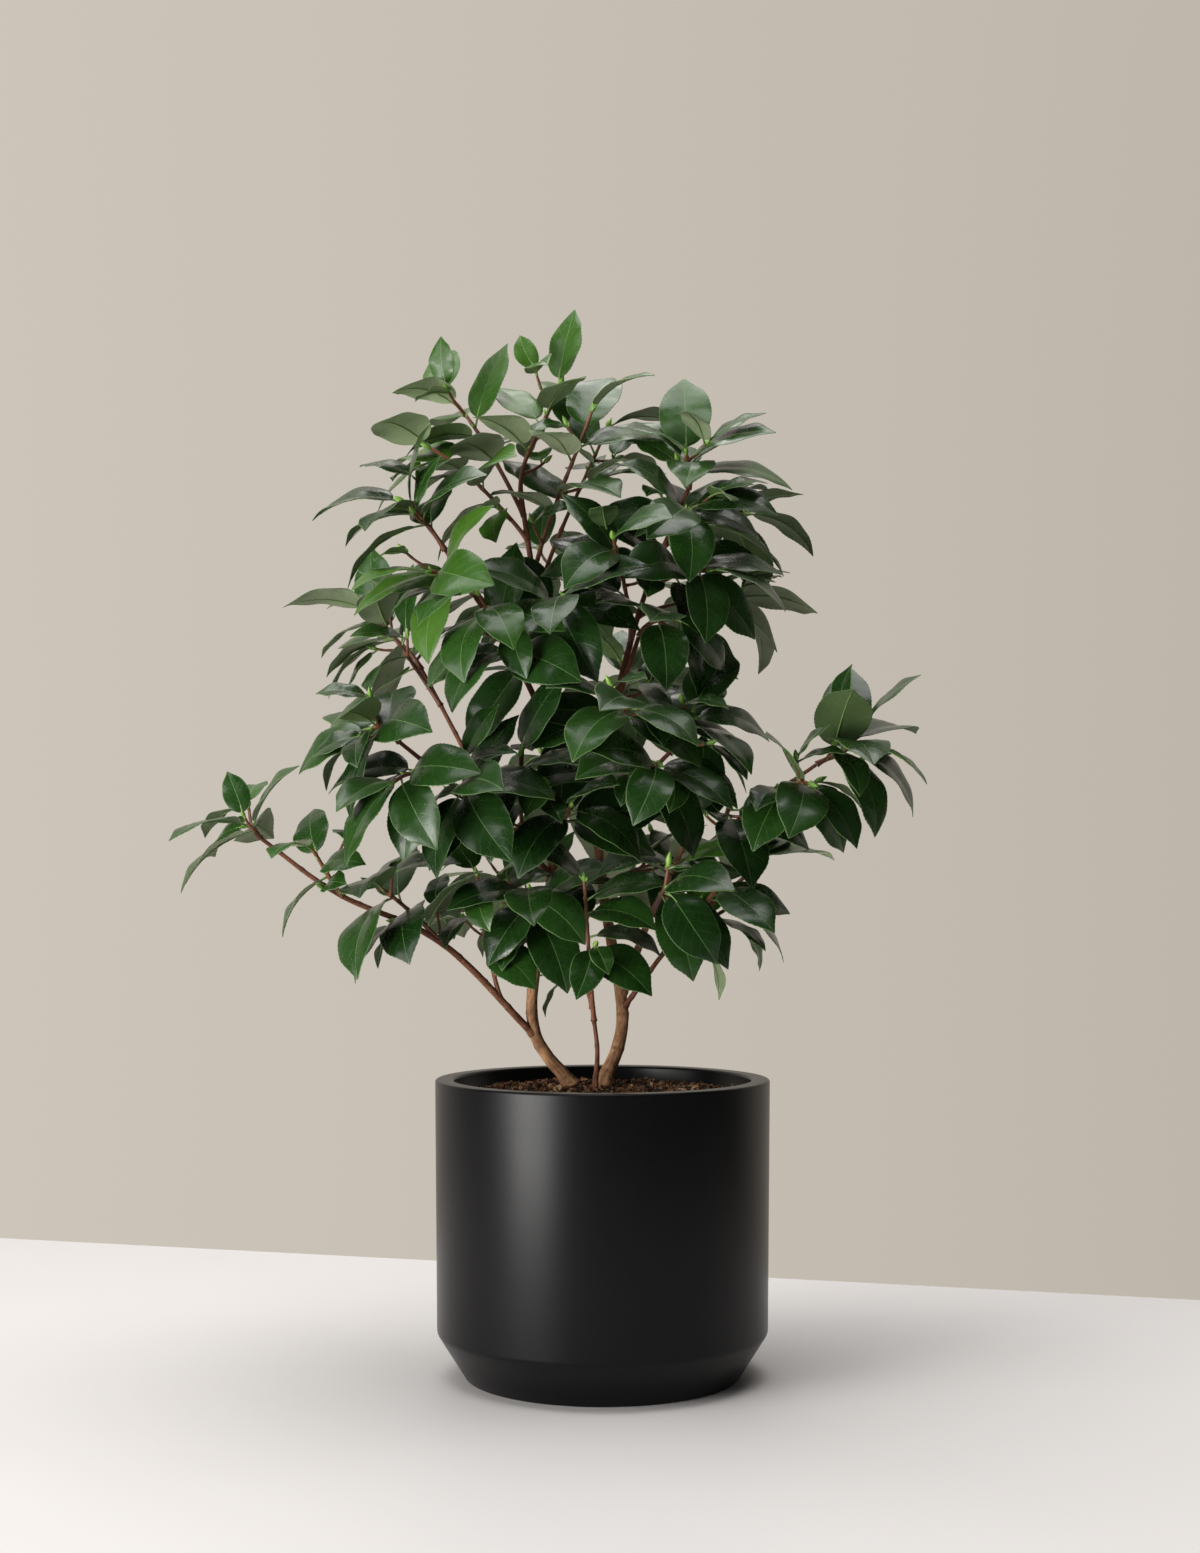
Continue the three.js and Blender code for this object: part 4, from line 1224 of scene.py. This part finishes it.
def make_leaves(sprays):
    """The blades of each tone, in pieces of whole sprays."""
    rib = plain_growth("midrib_green", (0.07, 0.15, 0.04), (0.15, 0.26, 0.075), 0.5)
    edge = plain_growth("leaf_edge", (0.05, 0.11, 0.03), (0.12, 0.2, 0.06), 0.5)
    looks = {
        "deep": [
            leaf_face("leaf_deep", (0.0045, 0.021, 0.003), (0.017, 0.06, 0.008), (0.045, 0.11, 0.02),
                      roughness=0.3, gloss=0.14),
            leaf_back("leaf_deep_back", (0.05, 0.095, 0.03), (0.11, 0.17, 0.06)),
        ],
        "lighter": [
            leaf_face("leaf_lighter", (0.009, 0.04, 0.005), (0.03, 0.095, 0.012), (0.075, 0.16, 0.03),
                      roughness=0.3, gloss=0.12),
            # Painted backlight: this pale underside is partly its own colour and partly light shining
            # through the leaf.
            leaf_back("leaf_lighter_back", (0.16, 0.21, 0.11), (0.34, 0.39, 0.24)),
        ],
        "fresh": [
            leaf_face("leaf_fresh", (0.02, 0.07, 0.006), (0.055, 0.145, 0.013), (0.11, 0.22, 0.035),
                      roughness=0.32, gloss=0.08),
            # Painted backlight: this pale underside is partly its own colour and partly light shining
            # through the leaf.
            leaf_back("leaf_fresh_back", (0.2, 0.29, 0.13), (0.4, 0.48, 0.28)),
        ],
    }
    for tone, (face, back) in looks.items():
        groups = [[]]
        for spray in [spray for spray in sprays if tone_of(spray) == tone]:
            if sum(len(other.found) for other in groups[-1]) + len(spray.found) > LEAVES_A_PIECE:
                groups.append([])
            groups[-1].append(spray)
        for number, group in enumerate(groups):
            bundle = Bundle()
            for spray in group:
                for order, leaf in enumerate(spray.found):
                    add_leaf(bundle, leaf, spray.seed * 40 + order + 0.5)
            piece = bundle.make(f"{tone}_leaves_{number + 1}", [face, back, rib, edge])
            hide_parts(*[spray.name for spray in group])


def make_shoots(sprays):
    """Shoots and fine twigs, leaf stalks, and the buds at the tips."""
    shoots, stalks, buds = Bundle(), Bundle(), Bundle()
    for spray in sprays:
        for order, shoot in enumerate(spray.shoots):
            add_shoot(shoots, shoot, spray.seed + order)
            heading = unit(shoot.control[3] - shoot.control[2])
            length = mix(BUD["length"], draw(spray.seed, DRAWS["bud_length"] + order))
            add_bud(buds, shoot.control[3] - heading, heading, length, BUD["slimness"] * length,
                    draw(spray.seed, DRAWS["bud_tone"] + order))
        for order, leaf in enumerate(spray.found):
            add_stalk(stalks, leaf, draw(spray.seed, DRAWS["stalk"] + order))
            if draw(spray.seed, DRAWS["side_bud"] + order) < BUD["side_share"]:
                heading = unit(leaf.heading + leaf.upper * BUD["side_lean"])
                add_bud(buds, leaf.root + leaf.upper, heading, BUD["side_length"], BUD["side_radius"],
                        draw(spray.seed, DRAWS["side_bud_tone"] + order))
    bark = plain_growth("young_bark", (0.09, 0.028, 0.014), (0.26, 0.1, 0.045), 0.55, 220)
    stalk = plain_growth("stalk_green", (0.12, 0.22, 0.06), (0.26, 0.36, 0.12), 0.45)
    bud = plain_growth("bud_green", (0.12, 0.3, 0.04), (0.3, 0.5, 0.09), 0.4)
    shoots.make("leafy_shoots", [bark])
    stalks.make("leaf_stalks", [stalk])
    buds.make("buds", [bud])


# ---- floor, light and camera ----

# In metres. The far edge runs slightly slanted: its distance from the pot's middle, and its slope.
TABLE = dict(side=3.2, front=-3.0, thick=0.05, edge=0.444, slope=-0.2825)
# Painted shade: the wall is a little darker to the right, as if light fell on it from the left.
WALL_LEFT = (0.61, 0.558, 0.49)
WALL_RIGHT = (0.515, 0.468, 0.407)
WALL_REACH = 0.28  # how far to each side the wall's colour goes on changing
MIRRORED = (0.1, 0.5)  # how far back a reflection points where the wall starts and stops to fade in
ROOM_LIGHT = 0.87  # the grey of the dim light from all round
ROOM_STRENGTH = 0.05


def make_stage():
    """A pale table top with a slightly slanted far edge."""
    shape = bmesh.new()
    bmesh.ops.create_cube(shape, size=1.0)
    for vertex in shape.verts:
        side = math.copysign(TABLE["side"], vertex.co.x)
        depth = TABLE["edge"] + TABLE["slope"] * side if vertex.co.y > 0 else TABLE["front"]
        vertex.co = Vector((side, depth, 0 if vertex.co.z > 0 else -TABLE["thick"]))
    mesh = bpy.data.meshes.new("table_top")
    shape.to_mesh(mesh)
    shape.free()
    mesh.materials.append(stage_material())
    put("table_top", mesh)


def make_world():
    """The wall's colour as seen and as mirrored from behind the plant, a little darker to the right as
    painted shade, and a dim, even light from all round."""
    world = bpy.data.worlds.new("room")
    world.use_nodes = True
    room = Nodes(world.node_tree)
    wall = room.tree.nodes["Background"]
    way = room.split(room.node("ShaderNodeTexCoord").outputs["Generated"])
    # Painted shade across the wall, from its lighter left to its darker right.
    shade = room.span(way["X"], -WALL_REACH, WALL_REACH)
    room.link(room.mix(shade, WALL_LEFT, WALL_RIGHT), wall.inputs["Color"])
    dim = room.node("ShaderNodeBackground")
    dim.inputs["Color"].default_value = (ROOM_LIGHT, ROOM_LIGHT, ROOM_LIGHT, 1)
    dim.inputs["Strength"].default_value = ROOM_STRENGTH
    ray = room.node("ShaderNodeLightPath").outputs
    mirrored = room.times(room.span(way["Y"], *MIRRORED), ray["Is Glossy Ray"])
    seen = room.math("MAXIMUM", ray["Is Camera Ray"], mirrored)
    choose = room.node("ShaderNodeMixShader")
    for socket, value in zip(choose.inputs, (seen, dim.outputs[0], wall.outputs[0])):
        room.link(value, socket)
    room.link(choose.outputs[0], room.tree.nodes["World Output"].inputs["Surface"])
    scene.world = world


# name, place, what it faces, width and height in metres, watts, colour.
LIGHTS = [
    ("key", (-4.3, -2.6, 1.95), (0, 0, 0.4), (3.1, 3.5), 132, (1.0, 0.985, 0.96)),
    ("low", (-1.85, -1.7, 0.32), (0, 0, 0.15), (1.2, 0.6), 48, (1.0, 0.985, 0.97)),
    ("top", (-0.2, 0.2, 3.0), (0, 0, 0.4), (2.6, 2.6), 92, (1.0, 0.985, 0.97)),
]


def make_lights():
    for name, spot, target, size, power, colour in LIGHTS:
        data = bpy.data.lights.new(name, "AREA")
        data.shape = "RECTANGLE"
        data.size, data.size_y = size
        data.energy = power
        data.color = colour
        light = put(name, data)
        light.location = spot
        light.rotation_euler = (Vector(target) - Vector(spot)).to_track_quat("-Z", "Y").to_euler()


SENSOR = 36  # millimetres
FOCAL = 47.6  # millimetres
EYE = (-0.00195, -1.6, 0.374)
RISE = 0.0753  # of the picture's height


def make_camera():
    data = bpy.data.cameras.new("camera")
    data.lens = FOCAL
    data.sensor_width = SENSOR
    data.shift_y = RISE
    camera = put("camera", data)
    camera.location = EYE
    camera.rotation_euler = (math.pi / 2, 0, 0)
    scene.camera = camera


# ---- the whole plant ----

limbs, sprays = grow()
make_limbs(limbs, bark_material())
make_pot(pot_material())
make_soil(soil_material("soil_dark", (0.02, 0.012, 0.008), (0.1, 0.055, 0.034)))
make_crumbs([
    soil_material("crumb_black", (0.012, 0.008, 0.006), (0.055, 0.034, 0.024)),
    soil_material("crumb_brown", (0.06, 0.03, 0.018), (0.22, 0.115, 0.065)),
    soil_material("crumb_red", (0.12, 0.045, 0.022), (0.34, 0.16, 0.085)),
    soil_material("crumb_tan", (0.22, 0.12, 0.065), (0.55, 0.36, 0.21)),
])
make_leaves(sprays)
make_shoots(sprays)
make_stage()
make_world()
make_lights()
make_camera()
scene.view_settings.view_transform = "Standard"
